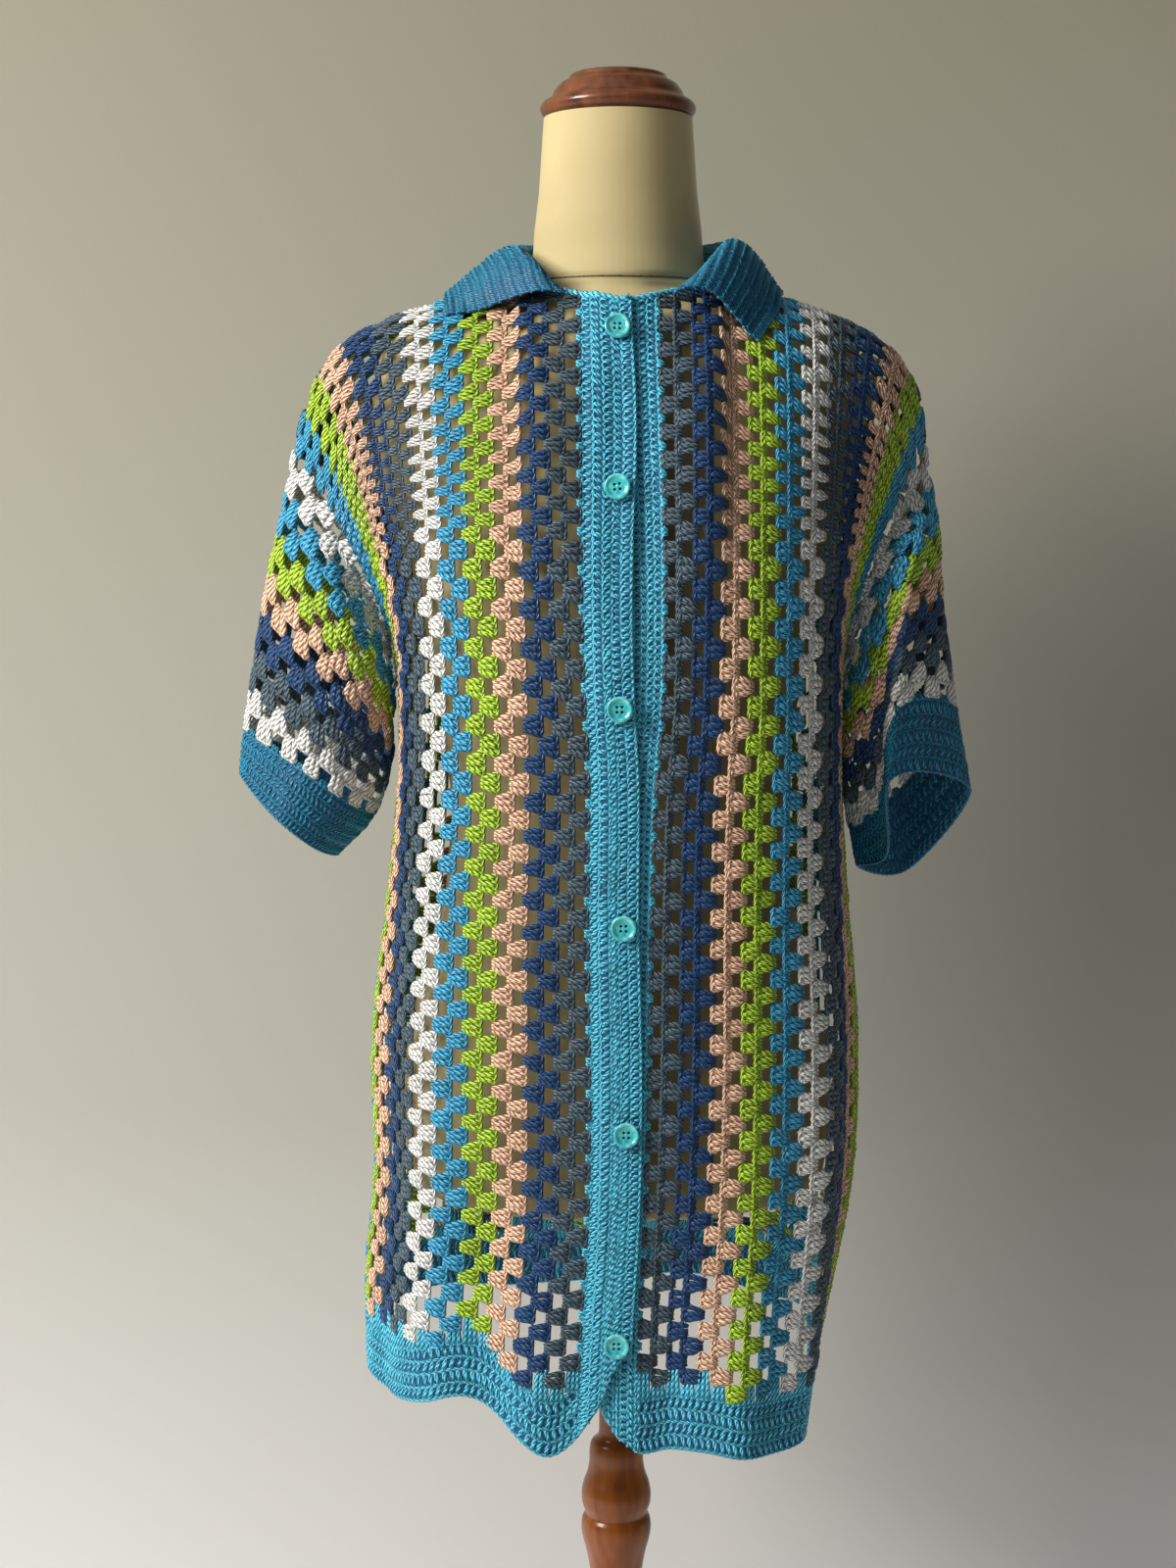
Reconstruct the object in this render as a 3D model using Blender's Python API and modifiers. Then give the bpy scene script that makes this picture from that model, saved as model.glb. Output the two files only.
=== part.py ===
"""A crochet cardigan, buttoned up on a limbless dress form with a turned wooden cap and stand.

Metres, +Z up. The origin is the centre of the base's underside, the front faces -Y, and the wearer's right
is at -X. The cloth is a thin wall round one middle surface: each panel is a function of a distance across
it and a place down it, and every seam is a line that two of these functions share.
"""

import math

import bmesh
import bpy
import numpy as np

# Driving dimensions
WALL = 0.003
SEAM_GAP = 0.0003
STRIPE = 0.0202
FRONT_STRIPES = 11
BAND_EDGE = 0.0195
BAND_INNER = 0.0055
BAND_RISE = 0.008
PANEL = BAND_EDGE + FRONT_STRIPES * STRIPE
BORDER = 0.036
UNDERARM_Z = 1.135
NECK_HALF = 0.070
NECK_S = 0.066
NECK_Z = 1.4095
NECK_FRONT = (0.084, 1.389)
NECK_BACK = (0.066, 1.4155)
CAP_BOTTOM = 1.520
TORSO_BOTTOM = 0.770
BASE_RADIUS = 0.180
COLLAR_EASE = 0.0008
BUTTON_RADIUS = 0.0086
BUTTON_THICK = 0.0034
BUTTON_S = 0.002

# How the upper cloth is drawn from the neck and shoulder to the underarm
NECK_ROUNDNESS = 0.3
NECK_SQUARENESS = 0.72
NECK_RISE = 0.5
NECK_DIP = math.radians(66)
SHOULDER_CROWDING = 0.14
TIP_LEAVE = (0.35, 0.85, -0.40)
LEAVE_BY = 0.330
LEAVE_BY_EDGE = 0.200
ARRIVE_BY = 0.290
ARRIVE_BY_EDGE = 0.240
CHEST_EDGE = 0.100
FLARE_FROM = 0.150
FLARE = 1.1
FOLD_MARGIN = 0.030

# How the sleeves leave the armholes
SLEEVE_LEAVE = 0.045
LOW_LEAVE = 0.024
LOW_SPREAD = 0.22
LOW_CLEARANCE = 0.0009
SEAM_BLEND = 0.35
SHORTEST_RING_STEP = 0.018

# How finely the cloth is divided
FRONT_COLUMNS = 13
BACK_COLUMNS = 11
UPPER_ROWS = 12
LOWER_ROWS = 11
BORDER_ROWS = 3
BAND_COLUMNS = 5
SLEEVE_ROWS = (0.0, 0.15, 0.4, 0.7, 1.0, 1.5, 2.0, 2.5)
COLLAR_PLACES = 27
COLLAR_ROWS = (0.0, 0.12, 0.24, 0.34, 0.48, 0.72, 1.0)
FORM_SIDES = 32
SECTION_STEPS = 97
EDGE_STEPS = 241
SEAM_POINTS = 96

RIGHT, LEFT = -1, 1
FRONT, BACK = -1, 1

# Sections of the body of the garment, a row for each height
BODY_LEVELS = (
    # height, centre x, half width at the wearer's right, at the left, front depth, back depth,
    # squareness at the right, at the left, how far the fronts gape
    (1.190, 0.001, 0.152, 0.150, 0.1275, 0.1160, 3.0, 3.0, 0.006),
    (1.130, 0.003, 0.153, 0.150, 0.1270, 0.1170, 3.1, 3.1, 0.006),
    (1.080, 0.002, 0.152, 0.151, 0.1265, 0.1180, 3.2, 3.2, 0.002),
    (0.990, 0.000, 0.159, 0.159, 0.1250, 0.1180, 3.0, 3.1, 0.000),
    (0.890, 0.000, 0.171, 0.168, 0.1240, 0.1190, 2.7, 2.9, -0.002),
    (0.790, -0.002, 0.169, 0.168, 0.1250, 0.1200, 2.7, 2.9, -0.003),
    (0.705, -0.006, 0.172, 0.157, 0.1260, 0.1210, 2.6, 3.2, -0.002),
    (0.625, -0.008, 0.170, 0.142, 0.1280, 0.1220, 2.5, 3.8, 0.000),
)

# Shoulder line from the neck to the sleeve seam, a row for each point
SHOULDER = {
    RIGHT: (
        # x, z
        (0.070, 1.4095),
        (0.121, 1.3950),
        (0.158, 1.3835),
        (0.187, 1.3690),
        (0.201, 1.3540),
        (0.2135, 1.3280),
        (0.2235, 1.2950),
    ),
    LEFT: (
        (0.070, 1.4095),
        (0.108, 1.3985),
        (0.140, 1.3890),
        (0.168, 1.3770),
        (0.192, 1.3590),
        (0.2060, 1.3360),
        (0.2125, 1.2980),
    ),
}

# Height of the bottom edge, a row for each place across the panel
HEM = {
    (RIGHT, FRONT): (
        # distance from the centre, height
        (-0.006, 0.690),
        (0.000, 0.676),
        (0.008, 0.655),
        (0.019, 0.637),
        (0.037, 0.623),
        (0.055, 0.631),
        (0.075, 0.648),
        (0.100, 0.658),
        (0.125, 0.652),
        (0.160, 0.646),
        (0.200, 0.648),
        (0.242, 0.654),
    ),
    (LEFT, FRONT): (
        (-0.006, 0.660),
        (0.000, 0.646),
        (0.008, 0.634),
        (0.020, 0.625),
        (0.045, 0.626),
        (0.070, 0.624),
        (0.095, 0.619),
        (0.130, 0.619),
        (0.160, 0.624),
        (0.200, 0.636),
        (0.242, 0.652),
    ),
    (RIGHT, BACK): (
        (0.000, 0.664),
        (0.060, 0.658),
        (0.120, 0.667),
        (0.180, 0.661),
        (0.242, 0.654),
    ),
    (LEFT, BACK): (
        (0.000, 0.664),
        (0.060, 0.669),
        (0.120, 0.658),
        (0.180, 0.664),
        (0.242, 0.652),
    ),
}

# Soft folds that hang from the bust, shoulder blades and underarms, a row for each fold
FOLDS = (
    # side, face, distance from the centre, half width, height of the ridge, top of the fold, full below
    (RIGHT, FRONT, 0.047, 0.016, 0.005, 0.86, 0.66),
    (RIGHT, FRONT, 0.086, 0.017, -0.006, 0.90, 0.68),
    (RIGHT, FRONT, 0.128, 0.019, 0.005, 1.08, 0.80),
    (RIGHT, FRONT, 0.176, 0.018, -0.005, 1.10, 0.90),
    (LEFT, FRONT, 0.040, 0.016, -0.004, 0.84, 0.66),
    (LEFT, FRONT, 0.092, 0.018, 0.005, 0.92, 0.70),
    (LEFT, FRONT, 0.142, 0.018, 0.006, 1.06, 0.76),
    (LEFT, FRONT, 0.186, 0.018, -0.006, 1.10, 0.86),
    (RIGHT, BACK, 0.050, 0.020, 0.006, 1.02, 0.72),
    (RIGHT, BACK, 0.105, 0.020, -0.005, 1.04, 0.76),
    (RIGHT, BACK, 0.165, 0.020, 0.006, 1.08, 0.80),
    (LEFT, BACK, 0.042, 0.020, -0.005, 1.00, 0.72),
    (LEFT, BACK, 0.098, 0.020, 0.006, 1.05, 0.78),
    (LEFT, BACK, 0.160, 0.020, -0.005, 1.08, 0.80),
)

# Rings of the sleeves after the seam, a row for each ring, each with five points round it
SLEEVE_RINGS = {
    RIGHT: (
        # outer, front, under the front, inner, back
        ((0.236, 0.000, 1.234), (0.196, -0.062, 1.198), (0.166, -0.052, 1.150), (0.159, 0.000, 1.110),
         (0.192, 0.056, 1.170)),
        ((0.2475, 0.000, 1.180), (0.204, -0.062, 1.148), (0.172, -0.050, 1.112), (0.160, 0.000, 1.080),
         (0.200, 0.056, 1.128)),
        ((0.261, 0.000, 1.100), (0.215, -0.056, 1.077), (0.186, -0.046, 1.054), (0.172, 0.000, 1.042),
         (0.212, 0.052, 1.068)),
        ((0.2645, 0.000, 1.071), (0.232, -0.052, 1.043), (0.208, -0.040, 1.022), (0.198, 0.004, 1.013),
         (0.228, 0.048, 1.036)),
    ),
    LEFT: (
        ((0.2215, 0.000, 1.240), (0.195, -0.058, 1.226), (0.172, -0.050, 1.152), (0.158, 0.000, 1.112),
         (0.192, 0.056, 1.176)),
        ((0.2260, 0.000, 1.186), (0.192, -0.062, 1.182), (0.176, -0.044, 1.100), (0.159, 0.002, 1.068),
         (0.194, 0.058, 1.124)),
        ((0.2380, 0.000, 1.112), (0.186, -0.062, 1.116), (0.182, -0.030, 1.052), (0.166, 0.006, 1.030),
         (0.206, 0.056, 1.050)),
        ((0.2490, 0.002, 1.057), (0.184, -0.060, 1.071), (0.188, -0.026, 1.016), (0.172, 0.012, 1.003),
         (0.212, 0.050, 0.994)),
    ),
}
RING_TURNS = (0.0, 0.24, 0.40, 0.56, 0.78)
CUFF_START = 3

# Cross-sections of the collar, a row for each place along it
COLLAR_SECTIONS = {
    RIGHT: (
        # foot at the neckline, top of the roll, outer edge
        ((0.034, -0.083, 1.3950), (0.050, -0.083, 1.3970), (0.114, -0.048, 1.3800)),
        ((0.052, -0.062, 1.4040), (0.057, -0.068, 1.4160), (0.117, -0.030, 1.3935)),
        ((0.064, -0.034, 1.4115), (0.068, -0.036, 1.4290), (0.118, -0.008, 1.4015)),
        ((0.0665, 0.004, 1.4140), (0.071, 0.006, 1.4345), (0.115, 0.030, 1.4030)),
        ((0.050, 0.046, 1.4175), (0.056, 0.051, 1.4400), (0.078, 0.092, 1.4030)),
    ),
    LEFT: (
        ((0.036, -0.083, 1.3960), (0.050, -0.086, 1.3990), (0.091, -0.076, 1.3640)),
        ((0.053, -0.062, 1.4040), (0.062, -0.072, 1.4160), (0.104, -0.052, 1.3820)),
        ((0.064, -0.034, 1.4115), (0.074, -0.040, 1.4330), (0.110, -0.020, 1.3985)),
        ((0.0665, 0.004, 1.4140), (0.077, 0.006, 1.4380), (0.112, 0.024, 1.4040)),
        ((0.050, 0.046, 1.4175), (0.057, 0.052, 1.4400), (0.080, 0.090, 1.4030)),
    ),
}
COLLAR_BACK = ((0.0, 0.0665, 1.4190), (0.0, 0.0725, 1.4420), (0.0, 0.1120, 1.4000))

# Sections of the dress form, a row for each height
FORM_LEVELS = (
    # height, half width, front depth, back depth, squareness
    (1.5196, 0.0550, 0.0550, 0.0550, 2.0),
    (1.4700, 0.0555, 0.0555, 0.0555, 2.0),
    (1.4300, 0.0580, 0.0580, 0.0570, 2.0),
    (1.4180, 0.0600, 0.0610, 0.0580, 2.0),
    (1.4110, 0.0622, 0.0625, 0.0588, 1.95),
    (1.4070, 0.0675, 0.0615, 0.0580, 1.5),
    (1.4022, 0.0880, 0.0620, 0.0585, 1.25),
    (1.3908, 0.1262, 0.0680, 0.0640, 1.35),
    (1.3770, 0.1500, 0.0760, 0.0700, 1.6),
    (1.3600, 0.1640, 0.0830, 0.0770, 1.75),
    (1.3350, 0.1700, 0.0870, 0.0830, 1.95),
    (1.3000, 0.1680, 0.0930, 0.0870, 2.1),
    (1.2500, 0.1570, 0.1080, 0.0960, 2.2),
    (1.2100, 0.1460, 0.1150, 0.0970, 2.2),
    (1.1700, 0.1370, 0.1120, 0.0940, 2.2),
    (1.1100, 0.1240, 0.1000, 0.0880, 2.2),
    (1.0500, 0.1160, 0.0910, 0.0820, 2.2),
    (0.9900, 0.1210, 0.0940, 0.0900, 2.2),
    (0.9300, 0.1380, 0.1010, 0.1010, 2.2),
    (0.8700, 0.1510, 0.1060, 0.1080, 2.2),
    (0.8200, 0.1530, 0.1060, 0.1080, 2.2),
    (0.7900, 0.1480, 0.1020, 0.1030, 2.2),
    (0.7760, 0.1400, 0.0950, 0.0960, 2.2),
    (TORSO_BOTTOM, 0.1260, 0.0830, 0.0840, 2.2),
)

# Turned profiles, outer side from the top down
CAP_PROFILE = (
    # radius, height above the flange's underside
    (0.0310, 0.0290),
    (0.0330, 0.0280),
    (0.0335, 0.0262),
    (0.0345, 0.0250),
    (0.0400, 0.0225),
    (0.0440, 0.0175),
    (0.0455, 0.0130),
    (0.0500, 0.0110),
    (0.0528, 0.0085),
    (0.0535, 0.0055),
    (0.0520, 0.0022),
    (0.0495, 0.0000),
)
POST_PROFILE = (
    # radius, height
    (0.0125, 0.7694),
    (0.0125, 0.5950),
    (0.0128, 0.5850),
    (0.0185, 0.5810),
    (0.0197, 0.5740),
    (0.0196, 0.5660),
    (0.0210, 0.5580),
    (0.0240, 0.5500),
    (0.0254, 0.5430),
    (0.0250, 0.5350),
    (0.0228, 0.5290),
    (0.0224, 0.5270),
    (0.0248, 0.5235),
    (0.0256, 0.5170),
    (0.0246, 0.5090),
    (0.0215, 0.4980),
    (0.0189, 0.4840),
    (0.0172, 0.4600),
    (0.0165, 0.4200),
    (0.0172, 0.3400),
    (0.0190, 0.2500),
    (0.0212, 0.1700),
    (0.0224, 0.1250),
    (0.0215, 0.1150),
    (0.0200, 0.1080),
    (0.0205, 0.1050),
    (0.0270, 0.1000),
    (0.0290, 0.0920),
    (0.0280, 0.0840),
    (0.0230, 0.0760),
    (0.0220, 0.0700),
    (0.0250, 0.0560),
    (0.0300, 0.0473),
)
BASE_PROFILE = (
    # radius, height
    (0.0600, 0.0470),
    (0.0640, 0.0455),
    (0.0660, 0.0420),
    (0.0700, 0.0380),
    (0.1100, 0.0310),
    (0.1500, 0.0268),
    (0.1640, 0.0255),
    (0.1740, 0.0225),
    (0.1790, 0.0170),
    (BASE_RADIUS, 0.0110),
    (0.1775, 0.0040),
    (0.1730, 0.0000),
)

# Buttons down the front, a height for each
BUTTON_HEIGHTS = (1.371, 1.268, 1.126, 0.982, 0.844, 0.700)


def smooth_through(rows, column, at):
    """A smooth curve through one column of a table, read at the values of its first column."""
    table = np.array(sorted([tuple(r[:1]) + (r[column],) for r in rows]), float)
    x, y = table[:, 0], table[:, 1]
    slope = np.gradient(y, x)
    at = np.clip(np.asarray(at, float), x[0], x[-1])
    k = np.clip(np.searchsorted(x, at, side="right") - 1, 0, len(x) - 2)
    span = x[k + 1] - x[k]
    t = (at - x[k]) / span
    return hermite(y[k], y[k + 1], slope[k] * span, slope[k + 1] * span, t)


def hermite(start, end, leave, arrive, t):
    """A cubic from start to end that leaves and arrives along the two directions given."""
    return (
        (2 * t**3 - 3 * t**2 + 1) * start
        + (t**3 - 2 * t**2 + t) * leave
        + (3 * t**2 - 2 * t**3) * end
        + (t**3 - t**2) * arrive
    )


def ease(t):
    t = np.clip(t, 0.0, 1.0)
    return t * t * (3.0 - 2.0 * t)


def unit(vectors):
    return vectors / np.maximum(np.linalg.norm(vectors, axis=-1, keepdims=True), 1e-12)


# Body of the garment


def quarter_section(half_width, depth, squareness, share):
    """Point and outward normal at a share of the way along a quarter section, from its front to its side."""
    turns = np.linspace(0.0, math.pi / 2, SECTION_STEPS)
    power = 2.0 / squareness[..., None]
    x = half_width[..., None] * np.sin(turns) ** power
    y = depth[..., None] * np.clip(np.cos(turns), 0.0, 1.0) ** power
    run = np.concatenate(
        [np.zeros(x.shape[:-1] + (1,)), np.cumsum(np.hypot(np.diff(x), np.diff(y)), axis=-1)], axis=-1
    )
    wanted = share * run[..., -1]
    k = np.clip((run < wanted[..., None]).sum(axis=-1) - 1, 0, len(turns) - 2)

    def pick(values, index):
        return np.take_along_axis(values, index[..., None], axis=-1)[..., 0]

    t = (wanted - pick(run, k)) / np.maximum(pick(run, k + 1) - pick(run, k), 1e-9)
    point = [pick(v, k) + t * (pick(v, k + 1) - pick(v, k)) for v in (x, y)]
    push = [np.maximum(v, 0.0) / size for v, size in zip(point, (half_width, depth))]
    normal = [p ** (squareness - 1) / size for p, size in zip(push, (half_width, depth))]
    length = np.hypot(*normal)
    return point[0], point[1], normal[0] / length, normal[1] / length


def ring_point(side, face, s, z):
    """Middle of the cloth below the arms, s metres of cloth from the centre line at the height z."""
    s, z = np.broadcast_arrays(np.asarray(s, float), np.asarray(z, float))
    centre = smooth_through(BODY_LEVELS, 1, z)
    half_width = smooth_through(BODY_LEVELS, 2 if side == RIGHT else 3, z)
    depth = smooth_through(BODY_LEVELS, 4 if face == FRONT else 5, z)
    squareness = smooth_through(BODY_LEVELS, 6 if side == RIGHT else 7, z)
    gape = smooth_through(BODY_LEVELS, 8, z) if face == FRONT else 0.0
    share = (s + gape * np.clip(1.0 - s / PANEL, 0.0, 1.0) ** 2) / PANEL
    across = np.abs(share)
    x, y, nx, ny = quarter_section(half_width, depth, squareness, np.clip(across, 0.0, 1.0))
    x = x * np.sign(share)
    push = np.zeros_like(x)
    for fold_side, fold_face, at, width, height, top, full in FOLDS:
        if (fold_side, fold_face) == (side, face):
            push += height * np.exp(-(((s - at) / width) ** 2)) * ease((top - z) / (top - full))
    # Near the side seam both faces share one line, so a fold dies out there and at the centre line
    push *= ease((PANEL - s) / FOLD_MARGIN) * ease(s / FOLD_MARGIN)
    return np.stack(
        [centre + side * (x + nx * push), face * (y + ny * push), z], axis=-1
    )


def shoulder_point(side, face, s):
    """Top edge of a panel: the neckline up to NECK_S, then the shoulder line to the sleeve seam."""
    s = np.asarray(s, float)
    line = np.array(SHOULDER[side])
    run = np.concatenate([[0.0], np.cumsum(np.linalg.norm(np.diff(line, axis=0), axis=1))])
    beyond = np.clip((s - NECK_S) / (PANEL - NECK_S), 0.0, 1.0)
    along = run[-1] * ((1.0 - SHOULDER_CROWDING) * beyond + SHOULDER_CROWDING * beyond**3)
    rows = [(r, x, z) for r, (x, z) in zip(run, line)]
    ridge = np.stack(
        [side * smooth_through(rows, 1, along), np.zeros_like(s), smooth_through(rows, 2, along)], axis=-1
    )
    depth, low = NECK_FRONT if face == FRONT else NECK_BACK
    turn = np.clip(s / NECK_S, -1.0, 1.0) * math.pi / 2
    x = NECK_HALF * (NECK_ROUNDNESS * np.sin(turn) + (1.0 - NECK_ROUNDNESS) * turn / (math.pi / 2))
    # The neckline is squarer than an ellipse, to pass round the foot of the neck
    ahead = np.clip(np.cos(turn), 0.0, 1.0) ** NECK_SQUARENESS
    z = low + (NECK_Z - low) * (1.0 - ahead) ** NECK_RISE
    neck = np.stack([side * x, face * depth * ahead, z], axis=-1)
    return np.where((s < NECK_S)[..., None], neck, ridge)


def body_point(side, face, s, v):
    """Middle of the cloth: v runs from 0 at the shoulder or neck to 1 at the underarm and 2 at the bottom."""
    s, v = np.broadcast_arrays(np.asarray(s, float), np.asarray(v, float))
    hem = smooth_through(HEM[side, face], 1, s)
    below = np.clip(v - 1.0, 0.0, 1.0)
    low = ring_point(side, face, s, UNDERARM_Z + (hem - UNDERARM_Z) * below)
    start = shoulder_point(side, face, s)
    end = ring_point(side, face, s, UNDERARM_Z)
    step = 0.01
    arrive = unit(ring_point(side, face, s, UNDERARM_Z - step) - end)
    # Towards the side seam the cloth arrives from the front or back, so that the armhole ends in an open V
    spread = np.clip((s - FLARE_FROM) / (PANEL - FLARE_FROM), 0.0, 1.0)[..., None] ** 2
    arrive = unit(arrive + spread * np.array([0.0, -face * FLARE, 0.0]))
    turn = np.clip(np.abs(s) / NECK_S, 0.0, 1.0) * math.pi / 2
    dip = NECK_DIP * np.cos(turn)
    leave = np.stack([np.zeros_like(s), face * np.cos(dip), -np.sin(dip)], axis=-1)
    tip = np.clip((s - NECK_S) / (PANEL - NECK_S), 0.0, 1.0)[..., None] ** 3
    leave = unit(leave * (1.0 - tip) + tip * np.array(TIP_LEAVE) * np.array([-side, face, 1.0]))
    # The loose cloth stands further off over the chest than at the armhole
    edge = np.clip((s - CHEST_EDGE) / (PANEL - CHEST_EDGE), 0.0, 1.0)[..., None]
    leave_by = (LEAVE_BY + (LEAVE_BY_EDGE - LEAVE_BY) * edge) * (0.5 + 0.5 * np.sin(turn))[..., None]
    arrive_by = ARRIVE_BY + (ARRIVE_BY_EDGE - ARRIVE_BY) * edge
    above = np.clip(v, 0.0, 1.0)[..., None]
    high = hermite(start, end, leave * leave_by, arrive * arrive_by, above)
    return np.where((v > 1.0)[..., None], low, high)


def surface_normal(surface, across, down, outward):
    """Outward normal of a surface function by small steps to each side."""
    step = 2e-4
    du = surface(across + step, down) - surface(across - step, down)
    dv = surface(across, down + step) - surface(across, down - step)
    normal = unit(np.cross(du, dv))
    return normal * np.sign((normal * outward).sum(axis=-1, keepdims=True))


def body_normal(side, face, s, v):
    s, v = np.broadcast_arrays(np.asarray(s, float), np.asarray(v, float))
    inset = 4e-4
    s_in = np.minimum(s, PANEL - inset)
    v_in = np.clip(v, inset, 2.0 - inset)
    here = body_point(side, face, s_in, v_in)
    outward = here - np.stack([0.3 * here[..., 0], 0.0 * s, np.minimum(here[..., 2], 1.30)], axis=-1)
    normal = surface_normal(lambda a, b: body_point(side, face, a, b), s_in, v_in, outward)
    # At the shoulder seam and the side seam both faces share one normal
    flat = normal * np.array([1.0, 0.0, 1.0])
    shared = ((v <= 0.0) & (s >= NECK_S)) | ((s >= PANEL - SEAM_GAP) & (v >= 1.0))
    return unit(np.where(shared[..., None], flat, normal))


# Meshes


def new_object(name, mesh, material):
    obj = bpy.data.objects.new(name, mesh)
    obj.data.materials.append(material)
    parts.objects.link(obj)
    return obj


def finish_mesh(name, bm, material, sharp=40.0):
    bmesh.ops.recalc_face_normals(bm, faces=bm.faces)
    mesh = bpy.data.meshes.new(name)
    bm.to_mesh(mesh)
    bm.free()
    mesh.shade_smooth()
    mesh.set_sharp_from_angle(angle=math.radians(sharp))
    return new_object(name, mesh, material)


def wall(name, middle, normal, material, closed=False):
    """A sheet of cloth round a grid of middle points, closed=True where its columns form a tube."""
    rows, columns = middle.shape[:2]
    bm = bmesh.new()
    outer, inner = [
        [[bm.verts.new(p) for p in row] for row in middle + normal * offset]
        for offset in (WALL / 2, -WALL / 2)
    ]
    last = columns if closed else columns - 1
    for i in range(rows - 1):
        for j in range(last):
            k = (j + 1) % columns
            bm.faces.new((outer[i][j], outer[i][k], outer[i + 1][k], outer[i + 1][j]))
            bm.faces.new((inner[i][j], inner[i + 1][j], inner[i + 1][k], inner[i][k]))
    for i in (0, rows - 1):
        for j in range(last):
            k = (j + 1) % columns
            bm.faces.new((outer[i][j], inner[i][j], inner[i][k], outer[i][k]))
    if not closed:
        for j in (0, columns - 1):
            for i in range(rows - 1):
                bm.faces.new((outer[i][j], outer[i + 1][j], inner[i + 1][j], inner[i][j]))
    bmesh.ops.triangulate(bm, faces=bm.faces)
    return finish_mesh(name, bm, material)


def loft(name, rings, material):
    """A closed solid through rings of points, with flat ends."""
    bm = bmesh.new()
    loops = [[bm.verts.new(p) for p in ring] for ring in rings]
    for upper, lower in zip(loops, loops[1:]):
        for j in range(len(upper)):
            k = (j + 1) % len(upper)
            bm.faces.new((upper[j], upper[k], lower[k], lower[j]))
    bm.faces.new(loops[0])
    bm.faces.new(loops[-1])
    return finish_mesh(name, bm, material)


def turned(name, profile, steps, material):
    """A turned solid: an outline from the axis at its top, down its outer side, back to the axis."""
    top, bottom = profile[0][1], profile[-1][1]
    outline = [(0.0, top)] + [tuple(p) for p in profile] + [(0.0, bottom)]
    mesh = bpy.data.meshes.new(name)
    points = [(radius, 0.0, height) for radius, height in outline]
    mesh.from_pydata(points, [(i, i + 1) for i in range(len(points) - 1)], [])
    obj = new_object(name, mesh, material)
    screw = obj.modifiers.new("turn", "SCREW")
    screw.steps = screw.render_steps = steps
    screw.use_merge_vertices = True
    screw.merge_threshold = 1e-5
    screw.use_smooth_shade = True
    return obj


def finish(name, colour, roughness, metallic=0.0):
    """A plain material for one sub-part."""
    material = bpy.data.materials.new(name)
    material.use_nodes = True
    shader = material.node_tree.nodes["Principled BSDF"]
    shader.inputs["Base Color"].default_value = (*colour, 1.0)
    shader.inputs["Roughness"].default_value = roughness
    shader.inputs["Metallic"].default_value = metallic
    return material


# Sub-parts


def border_top(side, face, s):
    """The v at which the hem border starts."""
    hem = smooth_through(HEM[side, face], 1, s)
    return 2.0 - (BORDER + SEAM_GAP) / (UNDERARM_Z - hem)


def rows_down(side, face, s):
    """The v of each row of a panel, from the shoulder and neck down to the hem border."""
    high = np.broadcast_to(np.linspace(0.0, 1.0, UPPER_ROWS)[:, None], (UPPER_ROWS, len(s)))
    down = np.linspace(0.0, 1.0, LOWER_ROWS)[1:, None]
    return np.concatenate([high, 1.0 + (border_top(side, face, s)[None, :] - 1.0) * down])


def panel_grid(side, face, s):
    v = rows_down(side, face, s)
    s = np.broadcast_to(s, v.shape)
    middle, normal = body_point(side, face, s, v), body_normal(side, face, s, v)
    middle[0, s[0] >= NECK_S, 1] = face * SEAM_GAP * 0.6
    return middle, normal


def border_grid(side, face, s):
    hem = smooth_through(HEM[side, face], 1, s)
    top = border_top(side, face, s) + SEAM_GAP / (UNDERARM_Z - hem)
    v = top[None, :] + (2.0 - top)[None, :] * np.linspace(0.0, 1.0, BORDER_ROWS)[:, None]
    s = np.broadcast_to(s, v.shape)
    return body_point(side, face, s, v), body_normal(side, face, s, v)


def across_back(grid_of):
    """Both halves of a back piece, joined at the centre line."""
    s = np.linspace(0.0, PANEL - SEAM_GAP / 2, BACK_COLUMNS)
    (right, right_n), (left, left_n) = grid_of(RIGHT, BACK, s), grid_of(LEFT, BACK, s)
    middle = np.concatenate([right[:, :0:-1], (right[:, :1] + left[:, :1]) / 2, left[:, 1:]], axis=1)
    normal = np.concatenate([right_n[:, :0:-1], unit(right_n[:, :1] + left_n[:, :1]), left_n[:, 1:]], axis=1)
    return middle, normal


def make_panels(cloth_front, cloth_back, trim):
    s = np.linspace(BAND_EDGE + SEAM_GAP / 2, PANEL - SEAM_GAP / 2, FRONT_COLUMNS)
    for word, side in (("right", RIGHT), ("left", LEFT)):
        wall(f"front_{word}", *panel_grid(side, FRONT, s), cloth_front)
        wall(f"hem_front_{word}", *border_grid(side, FRONT, s), trim)
    wall("back", *across_back(panel_grid), cloth_back)
    wall("hem_back", *across_back(border_grid), trim)


def band_lift(s):
    """How far the buttonhole band rises over the button band below it."""
    return (WALL + 3 * SEAM_GAP) * ease((BAND_EDGE - s) / BAND_RISE)


def band_grid(side):
    """The strip at the edge of one front, from the neck to the bottom edge."""
    s = np.linspace(BAND_EDGE - SEAM_GAP, -BAND_INNER, BAND_COLUMNS)
    v = rows_down(side, FRONT, s)
    v = np.concatenate([v, (v[-1:] + 2.0) / 2, np.full_like(v[-1:], 2.0)])
    s = np.broadcast_to(s, v.shape)
    middle = body_point(side, FRONT, s, v)
    normal = body_normal(side, FRONT, s, v)
    if side == RIGHT:
        middle = middle + normal * band_lift(s)[..., None]
    return middle, normal


def make_bands(material):
    for name, side in (("buttonhole_band", RIGHT), ("button_band", LEFT)):
        middle, normal = band_grid(side)
        wall(name, middle, normal, material)


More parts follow.
